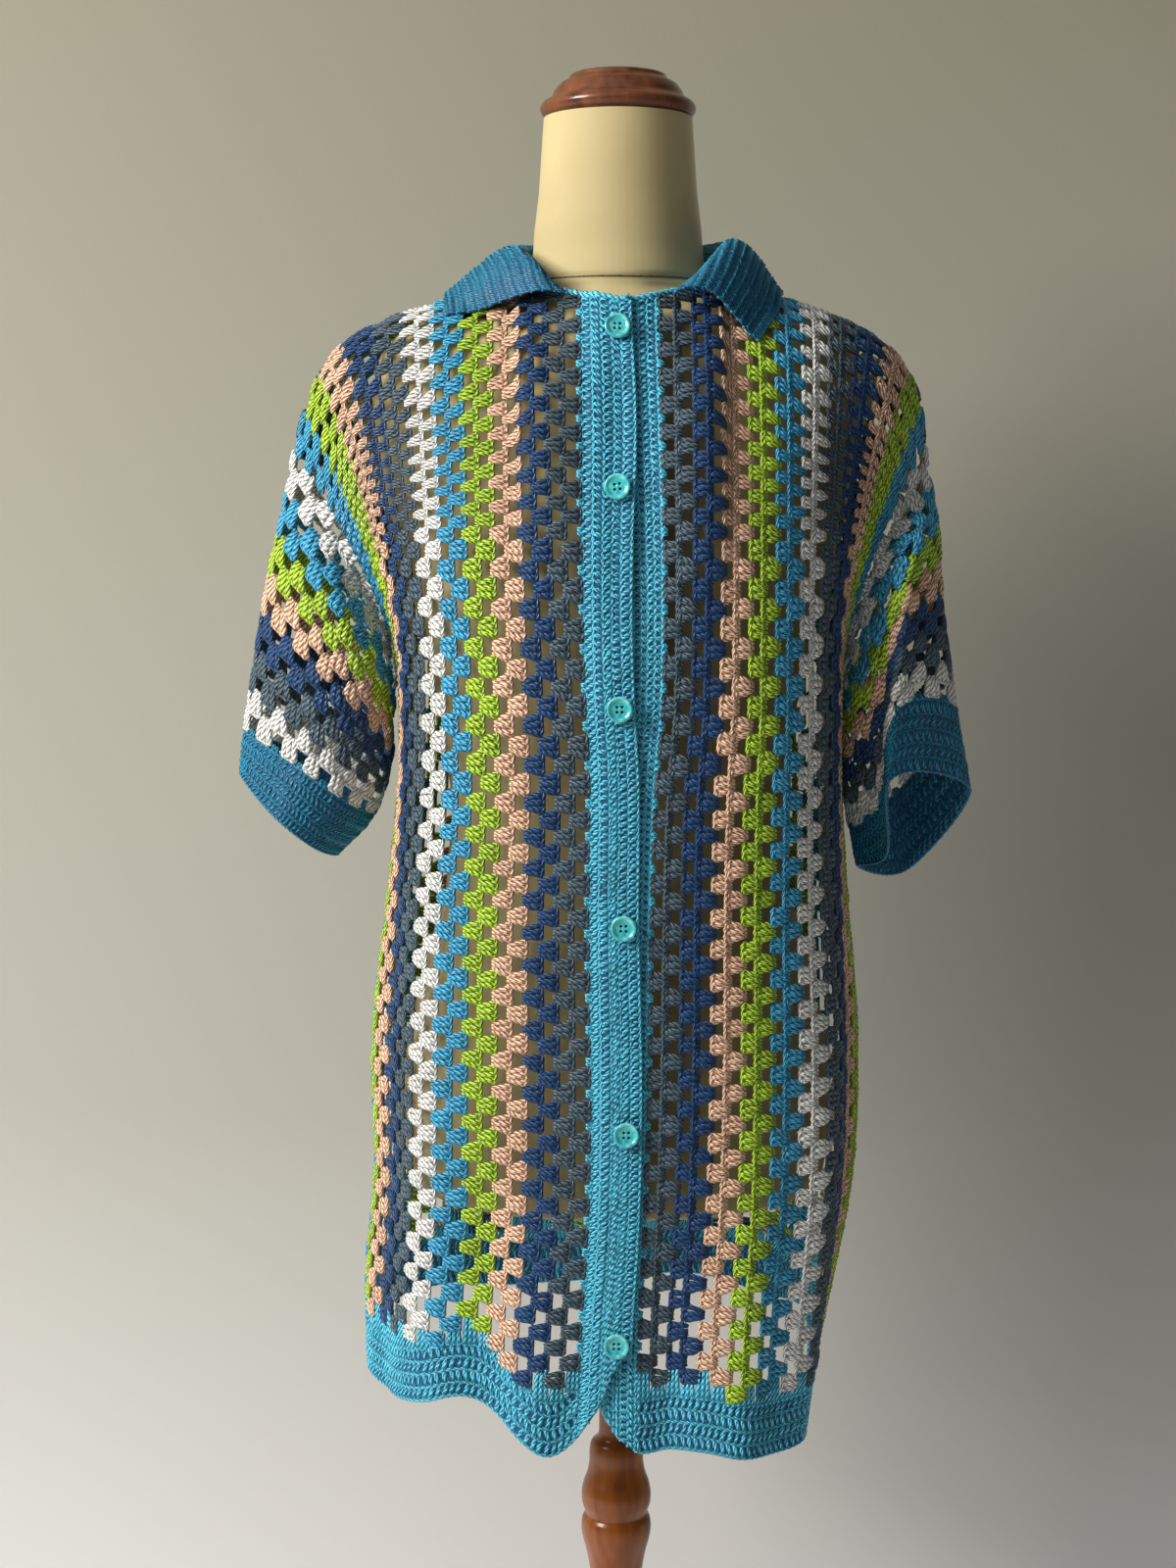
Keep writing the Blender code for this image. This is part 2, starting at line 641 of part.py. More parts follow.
def armhole(side, count):
    """Points, cloth normals and outward directions round the sleeve seam, from its top down the front."""
    v = np.linspace(0.0, 1.0, EDGE_STEPS)
    halves = []
    for face in (FRONT, BACK):
        edge = body_point(side, face, np.full_like(v, PANEL), v)
        normal = body_normal(side, face, np.full_like(v, PANEL), v)
        run = np.concatenate([[0.0], np.cumsum(np.linalg.norm(np.diff(edge, axis=0), axis=1))])
        halves.append((edge, normal, run / run[-1]))
    turn = np.arange(count) / count
    points, normals = np.empty((count, 3)), np.empty((count, 3))
    for i, t in enumerate(turn):
        edge, normal, run = halves[0] if t <= 0.5 else halves[1]
        share = 2 * t if t <= 0.5 else 2 * (1 - t)
        for axis in range(3):
            points[i, axis] = np.interp(share, run, edge[:, axis])
            normals[i, axis] = np.interp(share, run, normal[:, axis])
    for i in (0, count // 2):
        normals[i, 1] = 0.0
    normals = unit(normals)
    tangents = unit(np.roll(points, -1, axis=0) - np.roll(points, 1, axis=0))
    away = unit(np.cross(tangents, normals))
    away *= np.sign((away[:, 0] * side).sum())
    # Low down the sleeve comes straight out of the armhole, so its wall stands inside the edge there
    low = low_share(turn)[:, None]
    points = points + away * (SEAM_GAP + low * (WALL / 2 + LOW_CLEARANCE))
    leave = away * SLEEVE_LEAVE * (1.0 - low) + low * np.array([side * LOW_LEAVE, 0.0, 0.0])
    return points, normals, leave


def seam_turns(side):
    """The places round the sleeve seam where the rows of the front and back panels end."""
    rows = np.linspace(0.0, 1.0, UPPER_ROWS)
    v = np.linspace(0.0, 1.0, EDGE_STEPS)
    halves = []
    for face in (FRONT, BACK):
        edge = body_point(side, face, np.full_like(v, PANEL), v)
        run = np.concatenate([[0.0], np.cumsum(np.linalg.norm(np.diff(edge, axis=0), axis=1))])
        halves.append(np.interp(rows, v, run / run[-1]) / 2)
    return np.concatenate([halves[0], 1.0 - halves[1][-2:0:-1]])


def low_share(turn):
    """1 at the underarm, 0 over the top half of the sleeve seam."""
    return ease(1.0 - np.abs((np.asarray(turn, float) % 1.0) - 0.5) / LOW_SPREAD)


def round_ring(points, turn):
    """A smooth closed curve through the points of one ring row."""
    turns = np.array(RING_TURNS)
    knots = np.concatenate([turns[-2:] - 1.0, turns, turns[:2] + 1.0])
    values = np.array(points)[[-2, -1, 0, 1, 2, 3, 4, 0, 1]]
    rows = [(k, *p) for k, p in zip(knots, values)]
    return np.stack([smooth_through(rows, column, turn) for column in (1, 2, 3)], axis=-1)


def sleeve_point(side, turn, w):
    """Middle of the sleeve's cloth: turn goes once round it, w runs from 0 at the seam to 4 at the cuff's edge."""
    turn, w = np.broadcast_arrays(np.asarray(turn, float), np.asarray(w, float))
    around = turn % 1.0
    points, _, leave = SEAMS[side]
    count = len(points)
    knots = np.arange(count + 1) / count
    wrapped = [np.concatenate([a, a[:1]]) for a in (points, leave)]
    start, leave = [
        np.stack([np.interp(around, knots, a[:, axis]) for axis in range(3)], axis=-1) for a in wrapped
    ]
    mirror = np.array([side, 1.0, 1.0])
    rings = [start] + [round_ring(row, around) * mirror for row in SLEEVE_RINGS[side]]
    slopes = [leave]
    slopes += [(rings[i + 1] - rings[i - 1]) / 2 for i in (1, 2, 3)]
    slopes += [rings[4] - rings[3]]
    result = np.zeros_like(start)
    for i in range(4):
        t = np.clip(w - i, 0.0, 1.0)[..., None]
        inside = ((w >= i) & ((w < i + 1) | (i == 3)))[..., None]
        result = np.where(inside, hermite(rings[i], rings[i + 1], slopes[i], slopes[i + 1], t), result)
    return result


def sleeve_normal(side, turn, w):
    turn, w = np.broadcast_arrays(np.asarray(turn, float), np.asarray(w, float))
    inset = 1e-3
    w_in = np.clip(w, inset, 4.0 - inset)
    here = sleeve_point(side, turn, w_in)
    step = 1.0 / 200
    centre = np.mean([sleeve_point(side, k / 8 + 0 * turn, w_in) for k in range(8)], axis=0)
    du = sleeve_point(side, turn + step, w_in) - sleeve_point(side, turn - step, w_in)
    dv = sleeve_point(side, turn, w_in + inset) - sleeve_point(side, turn, w_in - inset)
    normal = unit(np.cross(du, dv))
    flip = np.sign((normal * (here - centre)).sum(axis=-1, keepdims=True).sum())
    normal = normal * flip
    _, seam_normals, _ = SEAMS[side]
    count = len(seam_normals)
    knots = np.arange(count + 1) / count
    wrapped = np.concatenate([seam_normals, seam_normals[:1]])
    at_seam = np.stack([np.interp(turn % 1.0, knots, wrapped[:, axis]) for axis in range(3)], axis=-1)
    share = (ease(1.0 - w / SEAM_BLEND) * (1.0 - low_share(turn)))[..., None]
    return unit(normal * (1.0 - share) + at_seam * share)


def make_sleeve(name, cuff_name, side, cloth, trim):
    turn = seam_turns(side)
    half_gap = SEAM_GAP / 2 / SHORTEST_RING_STEP
    body_rows = np.array(SLEEVE_ROWS + (CUFF_START - half_gap,))
    cuff_rows = np.linspace(CUFF_START + half_gap, 4.0, 3)
    for part, rows, material in ((name, body_rows, cloth), (cuff_name, cuff_rows, trim)):
        wide, deep = np.meshgrid(turn, rows)
        wall(part, sleeve_point(side, wide, deep), sleeve_normal(side, wide, deep), material, closed=True)


def collar_point(c, q):
    """Middle of the collar: c runs along it from -1 at the right tip to 1 at the left, q across it."""
    c, q = np.broadcast_arrays(np.asarray(c, float), np.asarray(q, float))
    sections = []
    for side in (RIGHT, LEFT):
        rows = [np.array(row) * np.array([side, 1.0, 1.0]) for row in COLLAR_SECTIONS[side]]
        sections.append(rows)
    rows = sections[0] + [np.array(COLLAR_BACK)] + sections[1][::-1]
    places = np.linspace(-1.0, 1.0, len(rows))
    corners = []
    for corner in range(3):
        table = [(place, *row[corner]) for place, row in zip(places, rows)]
        corners.append(np.stack([smooth_through(table, axis, c) for axis in (1, 2, 3)], axis=-1))
    foot, roll, edge = corners
    out = unit((edge - foot) * np.array([1.0, 1.0, 0.0]))
    height = roll[..., 2:3] - foot[..., 2:3]
    rise = np.concatenate([np.zeros_like(height), np.zeros_like(height), height], axis=-1) * 1.2
    over = out * 0.030
    fall = edge - roll
    split = 0.3
    first = hermite(foot, roll, rise, over * 0.7, np.clip(q / split, 0, 1)[..., None])
    second = hermite(roll, edge, over * 1.6, fall * 0.9, np.clip((q - split) / (1 - split), 0, 1)[..., None])
    return np.where((q > split)[..., None], second, first)


def collar_normal(c, q):
    c, q = np.broadcast_arrays(np.asarray(c, float), np.asarray(q, float))
    inset = 1e-3
    c_in, q_in = np.clip(c, -1 + inset, 1 - inset), np.clip(q, inset, 1 - inset)
    du = collar_point(c_in + inset, q_in) - collar_point(c_in - inset, q_in)
    dv = collar_point(c_in, q_in + inset) - collar_point(c_in, q_in - inset)
    return unit(np.cross(dv, du))


def clear_of_panels(points, clearance):
    """The points, each moved out until it stands clear of the front and back panels."""
    s, v = np.meshgrid(np.linspace(0.0, PANEL, 41), np.linspace(0.0, 0.5, 41))
    cloth, normals = [], []
    for side in (RIGHT, LEFT):
        for face in (FRONT, BACK):
            cloth.append(body_point(side, face, s, v).reshape(-1, 3))
            normals.append(body_normal(side, face, s, v).reshape(-1, 3))
    cloth, normals = np.concatenate(cloth), np.concatenate(normals)
    flat = points.reshape(-1, 3).copy()
    for _ in range(2):
        nearest = [int(np.argmin(((cloth - p) ** 2).sum(axis=1))) for p in flat]
        height = ((flat - cloth[nearest]) * normals[nearest]).sum(axis=1)
        flat += normals[nearest] * np.maximum(clearance - height, 0.0)[:, None]
    return flat.reshape(points.shape)


def make_collar(name, material):
    wide, deep = np.meshgrid(np.linspace(-1.0, 1.0, COLLAR_PLACES), COLLAR_ROWS)
    middle = collar_point(wide, deep)
    middle[2:] = clear_of_panels(middle[2:], WALL + COLLAR_EASE)
    wall(name, middle, collar_normal(wide, deep), material)


def band_place(z):
    """Point and normal on the outer side of the buttonhole band at the height z."""
    middle, normal = band_grid(RIGHT)
    outer = middle + normal * WALL / 2
    columns = np.linspace(BAND_EDGE - SEAM_GAP, -BAND_INNER, BAND_COLUMNS)
    right = int(np.argmin(np.abs(columns - BUTTON_S)))
    left = right - 1
    share = (BUTTON_S - columns[right]) / (columns[left] - columns[right])
    line = outer[:, right] + (outer[:, left] - outer[:, right]) * share
    upper = int(np.argmax(line[:, 2] < z)) - 1
    down = line[upper + 1] - line[upper]
    point = line[upper] + down * (z - line[upper, 2]) / down[2]
    across = outer[upper, right] - outer[upper, left]
    facing = unit(np.cross(across, down))
    facing = facing * np.sign(facing @ normal[upper, right])
    # The button's underside clears every point of the band below it
    shares = np.linspace(0.0, 1.0, 9)[:, None, None, None]
    dense = outer[:-1] + (outer[1:] - outer[:-1]) * shares
    away = dense.reshape(-1, 3) - point
    under = away[np.linalg.norm(away, axis=1) < BUTTON_RADIUS * 1.1]
    return point + facing * (under @ facing).max(), facing


def make_button(name, height, material):
    """A round button with a raised rim and a dished face, on the band."""
    point, normal = band_place(height)
    profile = (
        # share of the radius, share of the thickness
        (0.62, 0.72),
        (0.78, 0.95),
        (0.92, 1.00),
        (1.00, 0.55),
        (0.86, 0.00),
    )
    obj = turned(
        name, [(r * BUTTON_RADIUS, h * BUTTON_THICK) for r, h in profile], 12, material
    )
    obj.location = point + normal * SEAM_GAP
    across = np.cross([0.0, 0.0, 1.0], normal)
    obj.rotation_mode = "AXIS_ANGLE"
    angle = math.acos(max(-1.0, min(1.0, normal[2])))
    obj.rotation_axis_angle = (angle, *unit(across))


def make_form(name, material):
    turns = np.arange(FORM_SIDES) * 2 * math.pi / FORM_SIDES
    rings = []
    for z, half_width, front, back, squareness in FORM_LEVELS:
        power = 2.0 / squareness
        x = half_width * np.sign(np.cos(turns)) * np.abs(np.cos(turns)) ** power
        y = np.sign(np.sin(turns)) * np.abs(np.sin(turns)) ** power
        y = np.where(y < 0, y * front, y * back)
        rings.append(np.stack([x, y, np.full(FORM_SIDES, z)], axis=-1))
    loft(name, rings, material)


def clear_scene():
    for obj in list(bpy.data.objects):
        bpy.data.objects.remove(obj, do_unlink=True)


clear_scene()
parts = bpy.data.collections.new("crochet_cardigan")
bpy.context.scene.collection.children.link(parts)
SEAMS = {side: armhole(side, SEAM_POINTS) for side in (RIGHT, LEFT)}


def main():
    front_yarn = finish("striped_front_cotton", (0.16, 0.38, 0.52), 0.75)
    back_yarn = finish("striped_back_cotton", (0.55, 0.58, 0.50), 0.75)
    sleeve_yarn = finish("striped_sleeve_cotton", (0.20, 0.42, 0.30), 0.75)
    trim = finish("azure_cotton", (0.05, 0.36, 0.64), 0.72)
    pearl = finish("aqua_pearl", (0.10, 0.55, 0.56), 0.25)
    canvas = finish("cream_canvas", (0.69, 0.62, 0.40), 0.85)
    cap_wood = finish("dark_stained_wood", (0.20, 0.06, 0.02), 0.25)
    stand_wood = finish("amber_varnished_wood", (0.42, 0.14, 0.03), 0.22)

    make_form("form_torso", canvas)
    cap = [(radius, CAP_BOTTOM + height) for radius, height in CAP_PROFILE]
    turned("neck_cap", cap, 28, cap_wood)
    turned("stand_post", POST_PROFILE, 14, stand_wood)
    turned("stand_base", BASE_PROFILE, 36, stand_wood)

    make_panels(front_yarn, back_yarn, trim)
    make_sleeve("sleeve_right", "cuff_right", RIGHT, sleeve_yarn, trim)
    make_sleeve("sleeve_left", "cuff_left", LEFT, sleeve_yarn, trim)
    make_bands(trim)
    make_collar("collar", trim)
    for number, height in enumerate(BUTTON_HEIGHTS, start=1):
        make_button(f"button_{number}", height, pearl)


main()
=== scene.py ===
"""The looks of a crochet cardigan on its dress form: every cluster and stitch of the cloth, the canvas form,
the turned wood, the buttons, a plain studio and the camera.

Metres, +Z up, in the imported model's frame. The shapes of the cloth are the same functions of the same named
sizes as the part's source. Each stitch is a yarn tube laid on those surfaces.
"""

import math
from functools import partial

import bmesh
import bpy
import numpy as np
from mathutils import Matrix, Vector


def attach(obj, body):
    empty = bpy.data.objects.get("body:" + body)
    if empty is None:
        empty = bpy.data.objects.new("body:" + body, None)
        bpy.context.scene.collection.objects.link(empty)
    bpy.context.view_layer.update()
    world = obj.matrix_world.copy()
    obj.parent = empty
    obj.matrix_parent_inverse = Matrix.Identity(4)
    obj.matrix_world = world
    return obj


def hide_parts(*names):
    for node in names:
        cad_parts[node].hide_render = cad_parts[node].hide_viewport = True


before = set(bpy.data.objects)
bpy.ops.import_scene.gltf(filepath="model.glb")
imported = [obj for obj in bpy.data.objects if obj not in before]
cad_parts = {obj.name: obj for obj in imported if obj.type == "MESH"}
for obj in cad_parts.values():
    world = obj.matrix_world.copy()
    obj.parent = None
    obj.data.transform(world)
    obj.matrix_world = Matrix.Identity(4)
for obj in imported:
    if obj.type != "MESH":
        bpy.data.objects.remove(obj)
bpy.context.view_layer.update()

# Driving dimensions
WALL = 0.003
SEAM_GAP = 0.0003
STRIPE = 0.0202
FRONT_STRIPES = 11
BAND_EDGE = 0.0195
BAND_INNER = 0.0055
BAND_RISE = 0.008
PANEL = BAND_EDGE + FRONT_STRIPES * STRIPE
BORDER = 0.036
UNDERARM_Z = 1.135
NECK_HALF = 0.070
NECK_S = 0.066
NECK_Z = 1.4095
NECK_FRONT = (0.084, 1.389)
NECK_BACK = (0.066, 1.4155)
CAP_BOTTOM = 1.520
TORSO_BOTTOM = 0.770
BASE_RADIUS = 0.180
COLLAR_EASE = 0.0008
BUTTON_RADIUS = 0.0086
BUTTON_THICK = 0.0034

# How the upper cloth is drawn from the neck and shoulder to the underarm
NECK_ROUNDNESS = 0.3
NECK_SQUARENESS = 0.72
NECK_RISE = 0.5
NECK_DIP = math.radians(66)
SHOULDER_CROWDING = 0.14
TIP_LEAVE = (0.35, 0.85, -0.40)
LEAVE_BY = 0.330
LEAVE_BY_EDGE = 0.200
ARRIVE_BY = 0.290
ARRIVE_BY_EDGE = 0.240
CHEST_EDGE = 0.100
FLARE_FROM = 0.150
FLARE = 1.1
FOLD_MARGIN = 0.030
# the core of the body, which the cloth faces away from
CORE_SPREAD = 0.3
CORE_TOP = 1.30

# How the sleeves leave the armholes
SLEEVE_LEAVE = 0.045
LOW_LEAVE = 0.024
LOW_SPREAD = 0.22
LOW_CLEARANCE = 0.0009
SEAM_BLEND = 0.35

RIGHT, LEFT = -1, 1
FRONT, BACK = -1, 1
SIDES = (("right", RIGHT), ("left", LEFT))

# Sections of the body of the garment, a row for each height
BODY_LEVELS = (
    # height, centre x, half width at the wearer's right, at the left, front depth, back depth,
    # squareness at the right, at the left, how far the fronts gape
    (1.190, 0.001, 0.152, 0.150, 0.1275, 0.1160, 3.0, 3.0, 0.006),
    (1.130, 0.003, 0.153, 0.150, 0.1270, 0.1170, 3.1, 3.1, 0.006),
    (1.080, 0.002, 0.152, 0.151, 0.1265, 0.1180, 3.2, 3.2, 0.002),
    (0.990, 0.000, 0.159, 0.159, 0.1250, 0.1180, 3.0, 3.1, 0.000),
    (0.890, 0.000, 0.171, 0.168, 0.1240, 0.1190, 2.7, 2.9, -0.002),
    (0.790, -0.002, 0.169, 0.168, 0.1250, 0.1200, 2.7, 2.9, -0.003),
    (0.705, -0.006, 0.172, 0.157, 0.1260, 0.1210, 2.6, 3.2, -0.002),
    (0.625, -0.008, 0.170, 0.142, 0.1280, 0.1220, 2.5, 3.8, 0.000),
)

# Shoulder line from the neck to the sleeve seam, a row for each point
SHOULDER = {
    RIGHT: (
        # x, z
        (0.070, 1.4095),
        (0.121, 1.3950),
        (0.158, 1.3835),
        (0.187, 1.3690),
        (0.201, 1.3540),
        (0.2135, 1.3280),
        (0.2235, 1.2950),
    ),
    LEFT: (
        (0.070, 1.4095),
        (0.108, 1.3985),
        (0.140, 1.3890),
        (0.168, 1.3770),
        (0.192, 1.3590),
        (0.2060, 1.3360),
        (0.2125, 1.2980),
    ),
}

# Height of the bottom edge, a row for each place across the panel
HEM = {
    (RIGHT, FRONT): (
        # distance from the centre, height
        (-0.006, 0.690),
        (0.000, 0.676),
        (0.008, 0.655),
        (0.019, 0.637),
        (0.037, 0.623),
        (0.055, 0.631),
        (0.075, 0.648),
        (0.100, 0.658),
        (0.125, 0.652),
        (0.160, 0.646),
        (0.200, 0.648),
        (0.242, 0.654),
    ),
    (LEFT, FRONT): (
        (-0.006, 0.660),
        (0.000, 0.646),
        (0.008, 0.634),
        (0.020, 0.625),
        (0.045, 0.626),
        (0.070, 0.624),
        (0.095, 0.619),
        (0.130, 0.619),
        (0.160, 0.624),
        (0.200, 0.636),
        (0.242, 0.652),
    ),
    (RIGHT, BACK): (
        (0.000, 0.664),
        (0.060, 0.658),
        (0.120, 0.667),
        (0.180, 0.661),
        (0.242, 0.654),
    ),
    (LEFT, BACK): (
        (0.000, 0.664),
        (0.060, 0.669),
        (0.120, 0.658),
        (0.180, 0.664),
        (0.242, 0.652),
    ),
}

# Soft folds that hang from the bust, shoulder blades and underarms, a row for each fold
FOLDS = (
    # side, face, distance from the centre, half width, height of the ridge, top of the fold, full below
    (RIGHT, FRONT, 0.047, 0.016, 0.005, 0.86, 0.66),
    (RIGHT, FRONT, 0.086, 0.017, -0.006, 0.90, 0.68),
    (RIGHT, FRONT, 0.128, 0.019, 0.005, 1.08, 0.80),
    (RIGHT, FRONT, 0.176, 0.018, -0.005, 1.10, 0.90),
    (LEFT, FRONT, 0.040, 0.016, -0.004, 0.84, 0.66),
    (LEFT, FRONT, 0.092, 0.018, 0.005, 0.92, 0.70),
    (LEFT, FRONT, 0.142, 0.018, 0.006, 1.06, 0.76),
    (LEFT, FRONT, 0.186, 0.018, -0.006, 1.10, 0.86),
    (RIGHT, BACK, 0.050, 0.020, 0.006, 1.02, 0.72),
    (RIGHT, BACK, 0.105, 0.020, -0.005, 1.04, 0.76),
    (RIGHT, BACK, 0.165, 0.020, 0.006, 1.08, 0.80),
    (LEFT, BACK, 0.042, 0.020, -0.005, 1.00, 0.72),
    (LEFT, BACK, 0.098, 0.020, 0.006, 1.05, 0.78),
    (LEFT, BACK, 0.160, 0.020, -0.005, 1.08, 0.80),
)

# Rings of the sleeves after the seam, a row for each ring, each with five points round it
SLEEVE_RINGS = {
    RIGHT: (
        # outer, front, under the front, inner, back
        ((0.236, 0.000, 1.234), (0.196, -0.062, 1.198), (0.166, -0.052, 1.150), (0.159, 0.000, 1.110),
         (0.192, 0.056, 1.170)),
        ((0.2475, 0.000, 1.180), (0.204, -0.062, 1.148), (0.172, -0.050, 1.112), (0.160, 0.000, 1.080),
         (0.200, 0.056, 1.128)),
        ((0.261, 0.000, 1.100), (0.215, -0.056, 1.077), (0.186, -0.046, 1.054), (0.172, 0.000, 1.042),
         (0.212, 0.052, 1.068)),
        ((0.2645, 0.000, 1.071), (0.232, -0.052, 1.043), (0.208, -0.040, 1.022), (0.198, 0.004, 1.013),
         (0.228, 0.048, 1.036)),
    ),
    LEFT: (
        ((0.2215, 0.000, 1.240), (0.195, -0.058, 1.226), (0.172, -0.050, 1.152), (0.158, 0.000, 1.112),
         (0.192, 0.056, 1.176)),
        ((0.2260, 0.000, 1.186), (0.192, -0.062, 1.182), (0.176, -0.044, 1.100), (0.159, 0.002, 1.068),
         (0.194, 0.058, 1.124)),
        ((0.2380, 0.000, 1.112), (0.186, -0.062, 1.116), (0.182, -0.030, 1.052), (0.166, 0.006, 1.030),
         (0.206, 0.056, 1.050)),
        ((0.2490, 0.002, 1.057), (0.184, -0.060, 1.071), (0.188, -0.026, 1.016), (0.172, 0.012, 1.003),
         (0.212, 0.050, 0.994)),
    ),
}
RING_TURNS = (0.0, 0.24, 0.40, 0.56, 0.78)
# how far along a sleeve its cuff starts and ends
CUFF_START, CUFF_END = 3.0, 4.0

# Cross-sections of the collar, a row for each place along it
COLLAR_SECTIONS = {
    RIGHT: (
        # foot at the neckline, top of the roll, outer edge
        ((0.034, -0.083, 1.3950), (0.050, -0.083, 1.3970), (0.114, -0.048, 1.3800)),
        ((0.052, -0.062, 1.4040), (0.057, -0.068, 1.4160), (0.117, -0.030, 1.3935)),
        ((0.064, -0.034, 1.4115), (0.068, -0.036, 1.4290), (0.118, -0.008, 1.4015)),
        ((0.0665, 0.004, 1.4140), (0.071, 0.006, 1.4345), (0.115, 0.030, 1.4030)),
        ((0.050, 0.046, 1.4175), (0.056, 0.051, 1.4400), (0.078, 0.092, 1.4030)),
    ),
    LEFT: (
        ((0.036, -0.083, 1.3960), (0.050, -0.086, 1.3990), (0.091, -0.076, 1.3640)),
        ((0.053, -0.062, 1.4040), (0.062, -0.072, 1.4160), (0.104, -0.052, 1.3820)),
        ((0.064, -0.034, 1.4115), (0.074, -0.040, 1.4330), (0.110, -0.020, 1.3985)),
        ((0.0665, 0.004, 1.4140), (0.077, 0.006, 1.4380), (0.112, 0.024, 1.4040)),
        ((0.050, 0.046, 1.4175), (0.057, 0.052, 1.4400), (0.080, 0.090, 1.4030)),
    ),
}
COLLAR_BACK = ((0.0, 0.0665, 1.4190), (0.0, 0.0725, 1.4420), (0.0, 0.1120, 1.4000))
# share of the collar's width up to the top of its roll, and how fast it rises, rolls over and falls
COLLAR_TOP = 0.3
COLLAR_RISE = 1.2
COLLAR_ROLL_IN = 0.021
COLLAR_ROLL_OUT = 0.048
COLLAR_FALL = 0.9

# Sections of the dress form, a row for each height
FORM_LEVELS = (
    # height, half width, front depth, back depth, squareness
    (1.5196, 0.0550, 0.0550, 0.0550, 2.0),
    (1.4700, 0.0555, 0.0555, 0.0555, 2.0),
    (1.4300, 0.0580, 0.0580, 0.0570, 2.0),
    (1.4180, 0.0600, 0.0610, 0.0580, 2.0),
    (1.4110, 0.0622, 0.0625, 0.0588, 1.95),
    (1.4070, 0.0675, 0.0615, 0.0580, 1.5),
    (1.4022, 0.0880, 0.0620, 0.0585, 1.25),
    (1.3908, 0.1262, 0.0680, 0.0640, 1.35),
    (1.3770, 0.1500, 0.0760, 0.0700, 1.6),
    (1.3600, 0.1640, 0.0830, 0.0770, 1.75),
    (1.3350, 0.1700, 0.0870, 0.0830, 1.95),
    (1.3000, 0.1680, 0.0930, 0.0870, 2.1),
    (1.2500, 0.1570, 0.1080, 0.0960, 2.2),
    (1.2100, 0.1460, 0.1150, 0.0970, 2.2),
    (1.1700, 0.1370, 0.1120, 0.0940, 2.2),
    (1.1100, 0.1240, 0.1000, 0.0880, 2.2),
    (1.0500, 0.1160, 0.0910, 0.0820, 2.2),
    (0.9900, 0.1210, 0.0940, 0.0900, 2.2),
    (0.9300, 0.1380, 0.1010, 0.1010, 2.2),
    (0.8700, 0.1510, 0.1060, 0.1080, 2.2),
    (0.8200, 0.1530, 0.1060, 0.1080, 2.2),
    (0.7900, 0.1480, 0.1020, 0.1030, 2.2),
    (0.7760, 0.1400, 0.0950, 0.0960, 2.2),
    (TORSO_BOTTOM, 0.1260, 0.0830, 0.0840, 2.2),
)

# Share of a turned profile's sides that is cut off at each corner
CORNER_CUT = 0.2

# Turned profiles, outer side from the top down
CAP_PROFILE = (
    # radius, height above the flange's underside
    (0.0310, 0.0290),
    (0.0330, 0.0280),
    (0.0335, 0.0262),
    (0.0345, 0.0250),
    (0.0400, 0.0225),
    (0.0440, 0.0175),
    (0.0455, 0.0130),
    (0.0500, 0.0110),
    (0.0528, 0.0085),
    (0.0535, 0.0055),
    (0.0520, 0.0022),
    (0.0495, 0.0000),
)
POST_PROFILE = (
    # radius, height
    (0.0125, 0.7694),
    (0.0125, 0.5950),
    (0.0128, 0.5850),
    (0.0185, 0.5810),
    (0.0197, 0.5740),
    (0.0196, 0.5660),
    (0.0210, 0.5580),
    (0.0240, 0.5500),
    (0.0254, 0.5430),
    (0.0250, 0.5350),
    (0.0228, 0.5290),
    (0.0224, 0.5270),
    (0.0248, 0.5235),
    (0.0256, 0.5170),
    (0.0246, 0.5090),
    (0.0215, 0.4980),
    (0.0189, 0.4840),
    (0.0172, 0.4600),
    (0.0165, 0.4200),
    (0.0172, 0.3400),
    (0.0190, 0.2500),
    (0.0212, 0.1700),
    (0.0224, 0.1250),
    (0.0215, 0.1150),
    (0.0200, 0.1080),
    (0.0205, 0.1050),
    (0.0270, 0.1000),
    (0.0290, 0.0920),
    (0.0280, 0.0840),
    (0.0230, 0.0760),
    (0.0220, 0.0700),
    (0.0250, 0.0560),
    (0.0300, 0.0473),
)
BASE_PROFILE = (
    # radius, height
    (0.0600, 0.0470),
    (0.0640, 0.0455),
    (0.0660, 0.0420),
    (0.0700, 0.0380),
    (0.1100, 0.0310),
    (0.1500, 0.0268),
    (0.1640, 0.0255),
    (0.1740, 0.0225),
    (0.1790, 0.0170),
    (BASE_RADIUS, 0.0110),
    (0.1775, 0.0040),
    (0.1730, 0.0000),
)

# Buttons down the front, a height for each
BUTTON_HEIGHTS = (1.371, 1.268, 1.126, 0.982, 0.844, 0.700)
BUTTON_PROFILE = (
    # share of the radius, share of the thickness
    (0.02, 0.62),
    (0.50, 0.62),
    (0.66, 0.68),
    (0.78, 0.94),
    (0.88, 1.00),
    (0.97, 0.92),
    (1.00, 0.62),
    (0.96, 0.30),
    (0.84, 0.06),
    (0.70, 0.00),
    (0.02, 0.00),
)
# how far the shell stands off the band, and its thread holes
BUTTON_SEAT = 0.0009
BUTTON_HOLES = 4
HOLE_RADIUS = 0.0010
HOLE_PLACE = 0.0024
DRILL_LENGTH = 0.02
DRILL_SIDES = 14

